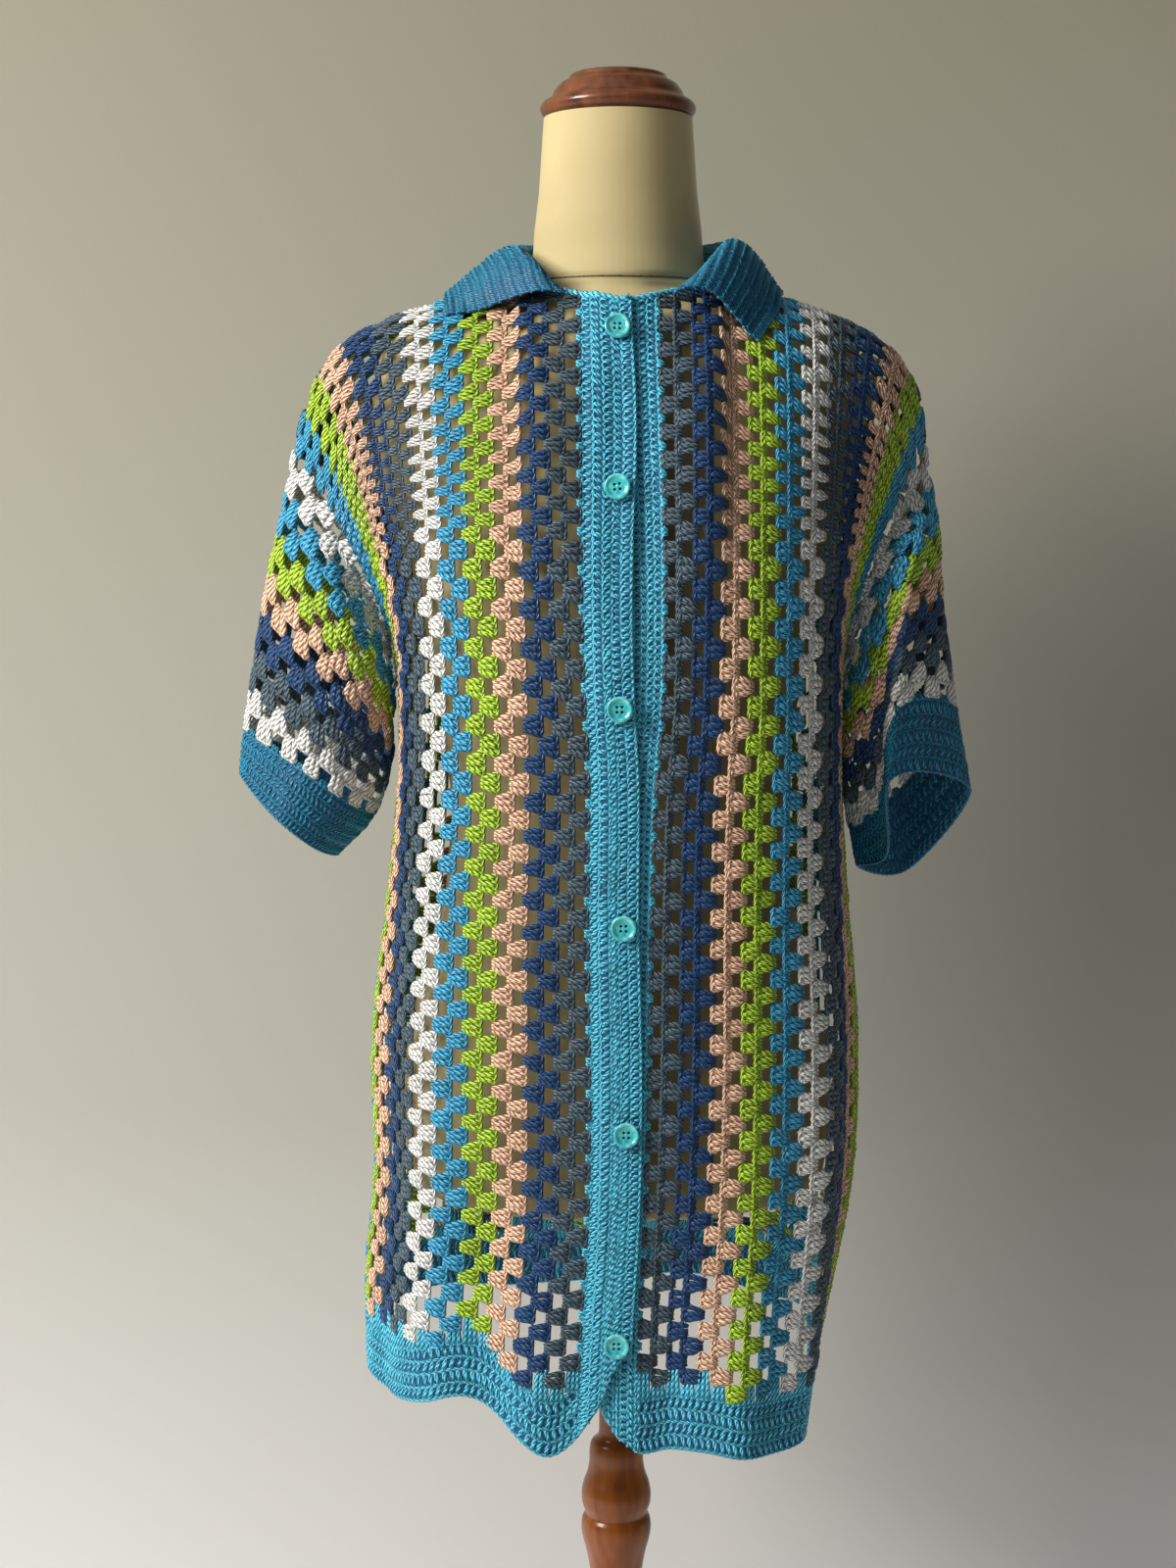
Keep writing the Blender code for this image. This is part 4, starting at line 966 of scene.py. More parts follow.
def add_tubes(work, centre, normal, wide, thick, yarn, sides=TUBE_SIDES):
    """Closed tubes along the lines of centre (tubes, steps, 3), wide across the surface, thick through it."""
    tubes, steps = centre.shape[:2]
    along = np.gradient(centre, axis=1)
    across = unit(np.cross(along, normal))
    up = unit(np.cross(across, along))
    turns = whole_turn(sides) + math.pi / 2
    wide, thick = [np.broadcast_to(size, (tubes, steps))[..., None, None] for size in (wide, thick)]
    ring = centre[:, :, None] + across[:, :, None] * wide * np.cos(turns)[:, None]
    ring = ring + up[:, :, None] * thick * np.sin(turns)[:, None]
    first = work["count"]
    work["points"].append(ring.reshape(-1, 3))
    work["count"] += ring.size // 3
    index = first + np.arange(tubes * steps * sides).reshape(tubes, steps, sides)
    following = np.roll(index, -1, axis=2)
    quads = np.stack([index[:, :-1], index[:, 1:], following[:, 1:], following[:, :-1]], axis=-1)
    work["quads"].append(quads.reshape(-1, 4))
    run = run_along(centre) * MILLIMETRES
    start = np.broadcast_to(run[:, :-1, None], quads.shape[:3])
    end = np.broadcast_to(run[:, 1:, None], quads.shape[:3])
    low = np.broadcast_to(np.arange(sides) / sides, quads.shape[:3])
    high = low + 1.0 / sides
    corners = ((start, low), (end, low), (end, high), (start, high))
    uv = np.stack([np.stack(corner, axis=-1) for corner in corners], axis=-2)
    work["quad_uv"].append(uv.reshape(-1, 2))
    caps = np.concatenate([index[:, 0], index[:, -1, ::-1]])
    work["caps"].append(caps)
    work["cap_uv"].append(np.tile(np.array([[0.0, 0.5]]), (caps.size, 1)))
    yarn = np.broadcast_to(np.asarray(yarn), (tubes,))
    work["quad_yarn"].append(np.repeat(yarn, (steps - 1) * sides))
    work["cap_yarn"].append(np.concatenate([yarn, yarn]))


def finish_work(name, work, materials):
    """One object from the gathered tubes, with the yarn numbers as material numbers."""
    points = np.concatenate(work["points"])
    faces = np.concatenate(work["quads"]).tolist()
    for caps in work["caps"]:
        faces += caps.tolist()
    mesh = bpy.data.meshes.new(name)
    mesh.from_pydata(points.tolist(), [], faces)
    layer = mesh.uv_layers.new(name="yarn")
    uv = np.concatenate(work["quad_uv"] + work["cap_uv"])
    layer.data.foreach_set("uv", uv.astype(np.float32).reshape(-1))
    numbers = np.concatenate(work["quad_yarn"] + work["cap_yarn"])
    used = sorted(set(numbers.tolist()))
    for number in used:
        mesh.materials.append(materials[YARN_ORDER[number]])
    place = {number: i for i, number in enumerate(used)}
    mesh.polygons.foreach_set("material_index", [place[n] for n in numbers.tolist()])
    mesh.shade_smooth()
    mesh.update()
    return placed(name, mesh)


def placed(name, data):
    """A new object of the scene with this data."""
    obj = bpy.data.objects.new(name, data)
    bpy.context.scene.collection.objects.link(obj)
    return obj


def on_chart(surface, along, across, rows_run_second):
    """Reads a chart by the place along a row and the place across the rows."""
    if rows_run_second:
        return read_chart(surface, across, along)
    return read_chart(surface, along, across)


def real_pitch(surface, row, across, pitch, rows_run_second):
    """The distance between neighbours at the places of a row."""
    near, _ = on_chart(surface, row - pitch / 2, across, rows_run_second)
    far, _ = on_chart(surface, row + pitch / 2, across, rows_run_second)
    return np.linalg.norm(far - near, axis=-1)[:, None]


def add_fans(work, surface, row, foot, pitch, reach, yarn, rows_run_second, rng):
    """Clusters of three posts: row and foot are their places, pitch is their spacing along the row.

    reach is the height of one row, and it is negative where the rows are counted from the far edge.
    """
    count = len(row)
    lean = rng.normal(0.0, LEAN_VARIES, count)
    size = 1.0 + rng.normal(0.0, SIZE_VARIES, count)
    rise = rng.normal(0.0, RISE_VARIES, count)
    spacing = real_pitch(surface, row, foot + reach / 2, pitch, rows_run_second) * size[:, None]
    t = FAN_STEPS[None, :]
    for k in FAN_POSTS:
        spread = FOOT_SPREAD + (TOP_SPREAD - FOOT_SPREAD) * t**SPREAD_POWER
        wander = rng.normal(0.0, WANDER, (count, len(FAN_STEPS)))
        along = row[:, None] + pitch * (k * spread * size[:, None] + lean[:, None] * t + wander)
        across = foot[:, None] + reach * (FAN_FOOT + (FAN_TOP - FAN_FOOT) * t - OUTER_SHORTER * abs(k) * t)
        centre, normal = on_chart(surface, along, across, rows_run_second)
        height = rise[:, None] + POST_LIFT - OUTER_LOWER * abs(k) + POST_ARCH * np.sin(math.pi * t)
        centre = centre + normal * height[..., None]
        knobs = 1.0 + rng.normal(0.0, KNOBS_VARY, (count, len(FAN_STEPS)))
        add_tubes(work, centre, normal, POST_WIDE * spacing * knobs, POST_THICK * knobs, yarn, POST_SIDES)
    t = LOOP_STEPS[None, :]
    along = row[:, None] + pitch * (LOOP_HALF * t * size[:, None] + lean[:, None])
    across = foot[:, None] + reach * (FAN_TOP + LOOP_ABOVE - LOOP_SAG * t**4)
    centre, normal = on_chart(surface, along, across, rows_run_second)
    bulge = 1.0 + LOOP_BULGE * np.cos(LOOPS_ACROSS * math.pi * t)
    centre = centre + normal * (rise[:, None] + LOOP_LIFT * bulge)[..., None]
    add_tubes(work, centre, normal, LOOP_WIDE * bulge, LOOP_WIDE * bulge, yarn)


def row_places(r, last):
    """Where a vertical row's clusters lie, counted from the top edge: odd rows are half a cluster on."""
    odd = r % 2
    places = np.arange(MOST_CLUSTERS) + 0.5 * (1 - odd)
    return places[places < last - LAST_CLUSTER]


def add_net(work, surface, starts, ends, rows, rows_in_all, colour_of, forward, rng):
    """Vertical rows of clusters on a panel, each row half a cluster on from the last."""
    reach = 1.0 / rows_in_all
    step = reach if forward else -reach
    shares = np.linspace(0.0, 1.0, len(ends))
    for r in rows:
        foot = r * reach if forward else 1.0 - r * reach
        middle = foot + step / 2
        places = row_places(r, np.interp(middle, shares, ends))
        places = places[places > np.interp(middle, shares, starts) - FIRST_CLUSTER] / MOST_CLUSTERS
        yarn = YARN_ORDER.index(colour_of(r))
        feet = np.full(len(places), foot)
        add_fans(work, surface, places, feet, 1.0 / MOST_CLUSTERS, step, yarn, True, rng)


def add_rings(work, surface, rows, places, colour_of, rng):
    """Rings of clusters round a sleeve, each ring half a cluster on from the last."""
    reach = 1.0 / rows
    for r in range(rows):
        row = (np.arange(places) + 0.5 * (r % 2)) / places
        feet = np.full(places, r * reach)
        yarn = YARN_ORDER.index(colour_of(r))
        add_fans(work, surface, row, feet, 1.0 / places, reach, yarn, False, rng)


def add_teeth(work, surface, i, j, reach_i, reach_j, yarn):
    """Short stitches from the places i, j of a chart, as far as the reaches."""
    i, j, reach_i, reach_j = np.broadcast_arrays(i, j, reach_i, reach_j)
    t = TOOTH_STEPS[None, :]
    centre, normal = read_chart(surface, i[:, None] + reach_i[:, None] * t, j[:, None] + reach_j[:, None] * t)
    wide = TOOTH_WIDE * (1.0 - TOOTH_TAPER * t)
    add_tubes(work, centre + normal * TOOTH_LIFT, normal, wide, wide, yarn)


def add_hem_teeth(work, surface, ends, rows_in_all, forward, yarn):
    """The hem's stitches reach up to the last cluster of each row."""
    reach = 1.0 / rows_in_all
    for r in range(rows_in_all):
        centre = (r + 0.5) * reach if forward else 1.0 - (r + 0.5) * reach
        last = np.interp(centre, np.linspace(0.0, 1.0, len(ends)), ends)
        gap = last - row_places(r, last)[-1] - LAST_CLUSTER
        for aside in HEM_TEETH:
            start = np.array([centre + aside * reach])
            add_teeth(work, surface, start, (last + HEM_TEETH_FROM) / MOST_CLUSTERS,
                      -HEM_TEETH_LEAN * aside * reach, -(gap + HEM_TEETH_PAST) / MOST_CLUSTERS, yarn)


def add_band_teeth(work, surface, starts, ends, yarn):
    """A front band's stitches reach between the clusters of the row next to it."""
    gaps = np.arange(int(starts[0]) + 1, int(ends[0])) + 0.5
    for aside in (-TEETH_ASIDE, TEETH_ASIDE):
        add_teeth(work, surface, np.zeros_like(gaps), (gaps + aside) / MOST_CLUSTERS,
                  TOOTH_REACH / FRONT_ROWS, -TEETH_LEAN * aside / MOST_CLUSTERS, yarn)


def add_neck_edging(work, side, yarn):
    """The round-stitched edge of the neckline, from the band to under the collar."""
    s = np.linspace(-BAND_INNER, NECK_S, 2 * EDGING_LOOPS + 1)
    v = np.full_like(s, EDGING_V)
    centre, normal = body_point(side, FRONT, s, v), body_normal(side, FRONT, s, v)
    if side == RIGHT:
        centre = centre + normal * band_lift(s)[:, None]
    radius = EDGING_RADIUS * (1.0 + EDGING_SWELL * np.cos(math.pi * np.arange(len(s))))
    add_tubes(work, centre[None], normal[None], radius, radius, yarn, POST_SIDES)


def add_cuff_teeth(work, surface, yarn):
    """A cuff's stitches reach between the clusters of the sleeve's last ring."""
    gaps = np.arange(CLUSTERS_ROUND) / CLUSTERS_ROUND
    for aside in (-TEETH_ASIDE, TEETH_ASIDE):
        add_teeth(work, surface, gaps + aside / CLUSTERS_ROUND, np.ones_like(gaps),
                  -TEETH_LEAN * aside / CLUSTERS_ROUND, -TOOTH_REACH / SLEEVE_ROWS, yarn)


def add_close_rows(work, surface, rows, stitches, rows_run_second, slant, yarn, rng):
    """Rows of close single posts with a line of loops between the rows."""
    pitch = 1.0 / stitches
    row = (np.arange(stitches) + 0.5) * pitch
    t = STITCH_STEPS[None, :]
    for r in range(rows):
        lean = slant * (1 if r % 2 else -1)
        wander = rng.normal(0.0, STITCH_WANDER * pitch, (stitches, len(STITCH_STEPS)))
        along = row[:, None] + pitch * lean * (t - 0.5) + wander
        across = np.broadcast_to((r + STITCH_FROM + STITCH_REACH * t) / rows, along.shape)
        centre, normal = on_chart(surface, along, across, rows_run_second)
        wide = real_pitch(surface, row, across[:, 1], pitch, rows_run_second) * STITCH_WIDE
        wide = wide * (1.0 - STITCH_TAPER * (t - STITCH_WIDEST) ** 2)
        rise = rng.normal(0.0, STITCH_RISE_VARIES, (stitches, 1))
        centre = centre + normal * (STITCH_ARCH * np.sin(math.pi * t) + rise)[..., None]
        add_tubes(work, centre, normal, wide, STITCH_THICK, yarn)
    for r in range(rows + 1):
        add_cord(work, surface, r / rows, stitches, rows_run_second, yarn, RIB_LIFT)


def add_cord(
    work, surface, place, stitches, rows_run_second, yarn, lift, radius=CORD_RADIUS, span=(0.0, 1.0)
):
    """A line of loops along the row at a place, as a cord that swells at each stitch."""
    row = np.linspace(*span, 2 * stitches + 1)[None, :]
    centre, normal = on_chart(surface, row, np.full_like(row, place), rows_run_second)
    swell = 1.0 + CORD_SWELL * np.cos(math.pi * np.arange(2 * stitches + 1))[None, :]
    add_tubes(work, centre + normal * lift, normal, radius * swell, radius * swell, yarn)


def from_bmesh(name, bm, material, sharp=SHARP):
    bmesh.ops.recalc_face_normals(bm, faces=bm.faces)
    mesh = bpy.data.meshes.new(name)
    bm.to_mesh(mesh)
    bm.free()
    mesh.shade_smooth()
    mesh.set_sharp_from_angle(angle=math.radians(sharp))
    mesh.materials.append(material)
    return placed(name, mesh)


def backing(name, surface, columns, rows, material):
    """A closed thin sheet under close stitches."""
    wraps = surface[2]
    i = np.arange(columns) / columns if wraps else np.linspace(0.0, 1.0, columns)
    a, b = np.meshgrid(i, np.linspace(0.0, 1.0, rows), indexing="ij")
    middle, normal = read_chart(surface, a, b)
    skins = [middle + normal * (BACKING / 2), middle - normal * (BACKING / 2)]
    bm = bmesh.new()
    outer, inner = [[[bm.verts.new(p) for p in line] for line in skin] for skin in skins]
    for x in range(columns if wraps else columns - 1):
        y = (x + 1) % columns
        for k in range(rows - 1):
            bm.faces.new((outer[x][k], outer[y][k], outer[y][k + 1], outer[x][k + 1]))
            bm.faces.new((inner[x][k], inner[x][k + 1], inner[y][k + 1], inner[y][k]))
        for k in (0, rows - 1):
            bm.faces.new((outer[x][k], inner[x][k], inner[y][k], outer[y][k]))
    if not wraps:
        for x in (0, columns - 1):
            for k in range(rows - 1):
                bm.faces.new((outer[x][k], outer[x][k + 1], inner[x][k + 1], inner[x][k]))
    return from_bmesh(name, bm, material)


# Materials


def node(tree, kind, inputs=(), **settings):
    made = tree.nodes.new(kind)
    for key, value in settings.items():
        setattr(made, key, value)
    for key, value in dict(inputs).items():
        if isinstance(value, bpy.types.NodeSocket):
            tree.links.new(value, made.inputs[key])
        else:
            made.inputs[key].default_value = value
    return made


def new_material(name):
    material = bpy.data.materials.new(name)
    material.use_nodes = True
    tree = material.node_tree
    return material, tree, tree.nodes["Principled BSDF"]


def ramp(tree, factor, stops):
    """Colours between the stops, each a position and a colour."""
    made = node(tree, "ShaderNodeValToRGB", {"Fac": factor})
    elements = made.color_ramp.elements
    stops = list(stops)
    while len(elements) < len(stops):
        elements.new(0.5)
    for element, (position, colour) in zip(elements, stops):
        element.position = position
        element.color = (*colour, 1.0)
    return made.outputs["Color"]


def maths(tree, operation, first, second=0.0):
    return node(tree, "ShaderNodeMath", {0: first, 1: second}, operation=operation).outputs[0]


def object_place(tree):
    return node(tree, "ShaderNodeTexCoord").outputs["Object"]


def noise(tree, place, scale, detail=2.0, distortion=0.0):
    inputs = {"Vector": place, "Scale": scale, "Detail": detail, "Distortion": distortion}
    return node(tree, "ShaderNodeTexNoise", inputs).outputs["Fac"]


def plus_share(tree, value, factor, added):
    """The value times a factor, plus another value."""
    result = maths(tree, "MULTIPLY_ADD", value, factor)
    tree.links.new(added, result.node.inputs[2])
    return result


def bumped(tree, shader, height, strength, distance):
    """Gives a shader a relief, its distance in metres."""
    bump = node(tree, "ShaderNodeBump", {"Height": height, "Strength": strength, "Distance": distance})
    tree.links.new(bump.outputs[0], shader.inputs["Normal"])


def coloured(tree, shader, colour, settings):
    """Links the base colour, and sets the shader's other inputs by name."""
    tree.links.new(colour, shader.inputs["Base Color"])
    for name, value in settings.items():
        shader.inputs[name].default_value = value


def yarn_material(name, lit, painted_shade):
    """Plied cotton: strands wind round each tube, with fuzz and small changes of tone; its colour runs from
    painted shade in the grooves between the plies to painted light on their tops.
    """
    material, tree, shader = new_material(f"{name}_cotton")
    uv = node(tree, "ShaderNodeUVMap", uv_map="yarn").outputs[0]
    split = node(tree, "ShaderNodeSeparateXYZ", {0: uv})
    place = object_place(tree)
    drift = noise(tree, place, scale=260.0)
    fuzz = noise(tree, place, scale=2600.0, detail=3.0)
    tone = noise(tree, place, scale=45.0)
    along = maths(tree, "MULTIPLY", split.outputs[0], 2 * math.pi / STRAND_RUN)
    around = maths(tree, "MULTIPLY", split.outputs[1], 2 * math.pi * STRANDS_ROUND)
    phase = maths(tree, "ADD", along, around)
    phase = maths(tree, "ADD", phase, maths(tree, "MULTIPLY", drift, STRAND_DRIFT))
    # Round strands with narrow grooves between them
    wave = maths(tree, "ABSOLUTE", maths(tree, "SINE", maths(tree, "MULTIPLY", phase, 0.5)))
    strand = maths(tree, "POWER", wave, STRAND_ROUNDNESS)
    # The plies and the tone set the colour between painted shade in the grooves and painted light on the ply
    # tops
    shade = plus_share(tree, strand, STRAND_SHADE, maths(tree, "MULTIPLY", tone, TONE_SHADE))
    middle = [YARN_MIDDLE * a + (1.0 - YARN_MIDDLE) * b for a, b in zip(lit, painted_shade)]
    colour = ramp(tree, shade, zip(YARN_STOPS, (painted_shade, middle, lit)))
    bumped(tree, shader, plus_share(tree, fuzz, FUZZ_RELIEF, strand), strength=1.0, distance=0.0009)
    coloured(tree, shader, colour, {"Roughness": 0.38, "Sheen Weight": 0.04, "Sheen Roughness": 0.4})
    return material


def backing_material(name, lit, painted_shade):
    """The close side of the trims between their stitches, darkened as painted shade between them."""
    material, tree, shader = new_material(name)
    place = object_place(tree)
    cell = node(tree, "ShaderNodeTexVoronoi", {"Vector": place, "Scale": 260.0}).outputs["Distance"]
    both = plus_share(tree, cell, -0.6, noise(tree, place, scale=900.0, detail=3.0))
    # a share of the lit colour, so that the sheet between the stitches shows as painted shade
    dim = [0.4 * v for v in lit]
    bumped(tree, shader, both, strength=0.9, distance=0.0012)
    coloured(tree, shader, ramp(tree, both, [(0.2, painted_shade), (0.9, dim)]), {"Roughness": 0.7})
    return material


def canvas_material():
    """Cream canvas: two sets of threads, and slow changes of tone."""
    material, tree, shader = new_material("cream_canvas_weave")
    place = object_place(tree)
    thread = {"Vector": place, "Scale": 420.0, "Distortion": 0.6, "Detail": 1.0}
    warp, weft = [
        node(tree, "ShaderNodeTexWave", thread, bands_direction=axis).outputs["Fac"] for axis in ("X", "Z")
    ]
    tone = noise(tree, place, scale=9.0, detail=4.0)
    colour = ramp(tree, tone, [(0.25, (0.440, 0.355, 0.170)), (0.75, (0.540, 0.445, 0.225))])
    bumped(tree, shader, maths(tree, "ADD", warp, weft), strength=0.25, distance=0.0002)
    coloured(tree, shader, colour, {"Roughness": 0.8, "Sheen Weight": 0.1})
    return material


def wood_material(name, dark, light, direction):
    """Varnished wood with a long grain."""
    material, tree, shader = new_material(name)
    stretch = node(tree, "ShaderNodeMapping", {"Vector": object_place(tree), "Scale": direction}).outputs[0]
    grain = noise(tree, stretch, scale=90.0, detail=5.0, distortion=0.6)
    ring = noise(tree, stretch, scale=18.0, distortion=1.2)
    both = plus_share(tree, grain, GRAIN_SHARE, maths(tree, "MULTIPLY", ring, 1.0 - GRAIN_SHARE))
    bumped(tree, shader, grain, strength=0.08, distance=0.0003)
    varnish = {"Roughness": 0.32, "Specular IOR Level": 0.30, "Coat Weight": 0.25, "Coat Roughness": 0.10}
    coloured(tree, shader, ramp(tree, both, [(0.35, dark), (0.62, light)]), varnish)
    return material


def pearl_material():
    """Aqua mother-of-pearl, in swirls that differ in colour and gloss."""
    material, tree, shader = new_material("aqua_pearl_shell")
    swirl = noise(tree, object_place(tree), scale=160.0, detail=3.0, distortion=1.5)
    colour = ramp(tree, swirl, PEARL_COLOURS)
    rough = maths(tree, "MULTIPLY_ADD", swirl, PEARL_ROUGHNESS_VARIES)
    rough.node.inputs[2].default_value = PEARL_ROUGHNESS
    tree.links.new(rough, shader.inputs["Roughness"])
    coloured(tree, shader, colour, {"Coat Weight": 0.6, "Coat Roughness": 0.08, "Sheen Weight": 0.15})
    return material


def thread_material():
    material, tree, shader = new_material("brown_seam_thread")
    tone = noise(tree, object_place(tree), scale=700.0)
    colour = ramp(tree, tone, [(0.35, (0.060, 0.040, 0.018)), (0.65, (0.200, 0.150, 0.070))])
    coloured(tree, shader, colour, {"Roughness": 0.8})
    return material


def stage_material(name, stops, top):
    """Plain paint whose colour changes slowly with height up to the height top, darker higher up as painted
    shade where the lamps' light falls off; from behind it is clear.
    """
    material, tree, shader = new_material(name)
    behind = node(tree, "ShaderNodeNewGeometry").outputs["Backfacing"]
    light_ray = node(tree, "ShaderNodeLightPath").outputs["Is Shadow Ray"]
    clear = node(tree, "ShaderNodeBsdfTransparent").outputs[0]
    unseen = maths(tree, "MAXIMUM", behind, light_ray)
    both = node(tree, "ShaderNodeMixShader", {0: unseen, 1: shader.outputs[0], 2: clear})
    output = next(item for item in tree.nodes if item.bl_idname == "ShaderNodeOutputMaterial")
    tree.links.new(both.outputs[0], output.inputs["Surface"])
    place = object_place(tree)
    height = node(tree, "ShaderNodeSeparateXYZ", {0: place}).outputs[2]
    tone = noise(tree, place, scale=1.3, detail=3.0)
    share = plus_share(tree, height, 1.0 / top, maths(tree, "MULTIPLY", tone, PAINT_VARIES))
    bumped(tree, shader, noise(tree, place, scale=420.0), strength=0.12, distance=0.0008)
    # the ramp by height paints the wall darker higher up, as painted shade
    coloured(tree, shader, ramp(tree, share, stops), {"Roughness": 0.9})
    return material


# The form, its cap and its stand


def soften(profile, rounds=2):
    """Cuts the corners of an outline, and keeps its ends."""
    points = np.array(profile, float)
    for _ in range(rounds):
        near = points[:-1] * (1.0 - CORNER_CUT) + points[1:] * CORNER_CUT
        far = points[:-1] * CORNER_CUT + points[1:] * (1.0 - CORNER_CUT)
        points = np.concatenate([points[:1], np.stack([near, far], axis=1).reshape(-1, 2)[1:-1], points[-1:]])
    return points


def from_rings(name, rings, material, sharp):
    """A closed solid through rings of points, from its top one down."""
    bm = bmesh.new()
    loops = [[bm.verts.new(p) for p in ring] for ring in rings]
    for upper, lower in zip(loops, loops[1:]):
        for j in range(len(upper)):
            k = (j + 1) % len(upper)
            bm.faces.new((upper[j], upper[k], lower[k], lower[j]))
    bm.faces.new(loops[0])
    bm.faces.new(loops[-1])
    return from_bmesh(name, bm, material, sharp)


def lathe(name, profile, material, steps=LATHE_STEPS, sharp=SHARP):
    """A turned solid from an outline of radius and height, from its top down."""
    turns = whole_turn(steps)
    rings = [[(r * math.cos(t), r * math.sin(t), z) for t in turns] for r, z in profile]
    return from_rings(name, rings, material, sharp)


def form_ring(z, half_width, front, back, squareness, turns):
    """One level of the form, rounded where it faces forward and backward."""
    power = 2.0 / squareness
    power_across = power - max(power - 1.0, 0.0) * (1.0 - ease(np.abs(np.cos(turns)) / CREASE))
    x = half_width * np.sign(np.cos(turns)) * np.abs(np.cos(turns)) ** power_across
    y = np.sign(np.sin(turns)) * np.abs(np.sin(turns)) ** power
    y = np.where(y < 0, y * front, y * back)
    return np.stack([x, y, np.full(len(turns), z)], axis=-1)


def form_sizes(z):
    """Half width, front depth, back depth and squareness of the form at a height."""
    levels = np.array(FORM_LEVELS)
    sizes = [np.interp(z, levels[::-1, 0], levels[::-1, column]) for column in (1, 2, 3, 4)]
    narrow = np.interp(z, *zip(*NECK_TAPER))
    least = np.interp(z, *zip(*SEAM_ROUND))
    return [narrow * size for size in sizes[:3]] + [max(sizes[3], least)]


def make_form(material):
    """The padded form; its neck narrows a little towards the cap."""
    levels = [row[0] for row in FORM_LEVELS]
    pairs = zip(levels[:-1], levels[1:])
    heights = np.concatenate([np.linspace(a, b, FORM_LEVEL_STEPS + 1)[:-1] for a, b in pairs])
    heights = np.append(heights, levels[-1])
    rings = [form_ring(z, *form_sizes(z), whole_turn(FORM_STEPS)) for z in heights]
    return from_rings("form_canvas", rings, material, FORM_SHARP)


def make_neck_seam():
    """The thin stitched line where the neck's canvas meets the shoulders'."""
    points = form_ring(NECK_SEAM_Z, *form_sizes(NECK_SEAM_Z), whole_turn(FORM_STEPS))
    settle(ring_cord("neck_seam", points, NECK_SEAM_RADIUS, thread_material()), [])


def ring_cord(name, points, radius, material):
    """A closed thin cord through a ring of points."""
    along = unit(np.roll(points, -1, axis=0) - np.roll(points, 1, axis=0))
    out = unit(points * np.array([1.0, 1.0, 0.0]))
    up = unit(np.cross(along, out))
    bm = bmesh.new()
    rings = []
    for p, o, u in zip(points, out, up):
        turns = whole_turn(THREAD_SIDES)
        rings.append([bm.verts.new(p + radius * (o * math.cos(t) + u * math.sin(t))) for t in turns])
    for a, b in zip(rings, rings[1:] + rings[:1]):
        for k in range(THREAD_SIDES):
            n = (k + 1) % THREAD_SIDES
            bm.faces.new((a[k], a[n], b[n], b[k]))
    return from_bmesh(name, bm, material, NEVER_SHARP)


# The pieces of the garment


def settle(piece, nodes):
    """Ties a piece to the body, and hides the nodes that it stands in for."""
    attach(piece, "root")
    if nodes:
        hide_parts(*nodes)
    return piece


def cluster_chart(points, normals, places, v, border):
    """A chart that counts clusters down from the shoulder, and each column's first and last count.

    Near the top the clusters are evenly spaced. The columns that start at the neckline start with the count
    that the column beside the neck has there. Further down the clusters lie at the same heights all across.
    """
    run = run_along(points)
    heights = points[..., 2]
    beside = int(np.argmin(np.where(np.abs(places) < NECK_S, np.inf, np.abs(places))))
    profile = [np.interp(NECK_SEARCH, run[beside], points[beside, :, axis]) for axis in (1, 2)]
    away = np.linalg.norm(points[:, :1, 1:] - np.stack(profile, axis=-1), axis=-1)
    starts = NECK_SEARCH[np.argmin(away, axis=1)] / TOP_PITCH
    starts = np.where(np.abs(places) < NECK_S, starts, 0.0)
    even_count = starts[:, None] + run / TOP_PITCH
    by_height = np.interp(heights, *zip(*CLUSTER_HEIGHTS))
    join = int(np.argmin(np.abs(heights[beside] - JOIN_Z)))
    by_height += round(even_count[beside, join] - by_height[beside, join]) + 0.5
    level = ease((np.minimum(LEVEL_HIGH, heights[:, :1] - LEVEL_BELOW_TOP) - heights) / LEVEL_BY)
    count = np.maximum.accumulate(even_count * (1.0 - level) + by_height * level, axis=1)
    ends = np.array([np.interp(edge, v, line) for edge, line in zip(border, count)])
    respace((points, normals), count, np.linspace(0.0, MOST_CLUSTERS, points.shape[1]))
    return (points, unit(normals), False), starts, ends


def front_chart(side):
    v = DOWN_THE_BODY
    places = np.linspace(BAND_EDGE, PANEL, FRONT_COLUMNS)
    a, b = np.meshgrid(places, v, indexing="ij")
    points, normals = body_point(side, FRONT, a, b), body_normal(side, FRONT, a, b)
    return cluster_chart(points, normals, places, v, border_top(side, FRONT, places))


def on_back(function, place, v_of):
    """Reads a function of the back panels by a signed distance from the centre line."""
    s = np.abs(place)
    right = function(RIGHT, BACK, s, v_of(RIGHT, s))
    left = function(LEFT, BACK, s, v_of(LEFT, s))
    return np.where((place < 0)[..., None], right, left)


def back_chart():
    v = DOWN_THE_BODY
    places = np.linspace(-PANEL, PANEL, BACK_COLUMNS)
    a, b = np.meshgrid(places, v, indexing="ij")
    points, normals = [on_back(function, a, lambda side, s: b) for function in (body_point, body_normal)]
    border = [border_top(RIGHT if s < 0 else LEFT, BACK, abs(s)) for s in places]
    return cluster_chart(points, normals, places, v, border)


def hem_v(side, face, s, share):
    """The v at a share of the way down the hem border."""
    low = border_top(side, face, s)
    return low + (2.0 - low) * share


def back_hem_chart():
    def reader(function):
        return lambda place, share: on_back(function, place, lambda side, s: hem_v(side, BACK, s, share))

    firsts, seconds = np.linspace(-PANEL, PANEL, BACK_COLUMNS), np.linspace(0.0, 1.0, HEM_STEPS)
    return chart(reader(body_point), reader(body_normal), firsts, seconds)


def hem_chart(side):
    def reader(function):
        return lambda s, share: function(side, FRONT, s, hem_v(side, FRONT, s, share))

    firsts, seconds = np.linspace(BAND_EDGE, PANEL, FRONT_COLUMNS), np.linspace(0.0, 1.0, HEM_STEPS)
    return chart(reader(body_point), reader(body_normal), firsts, seconds)


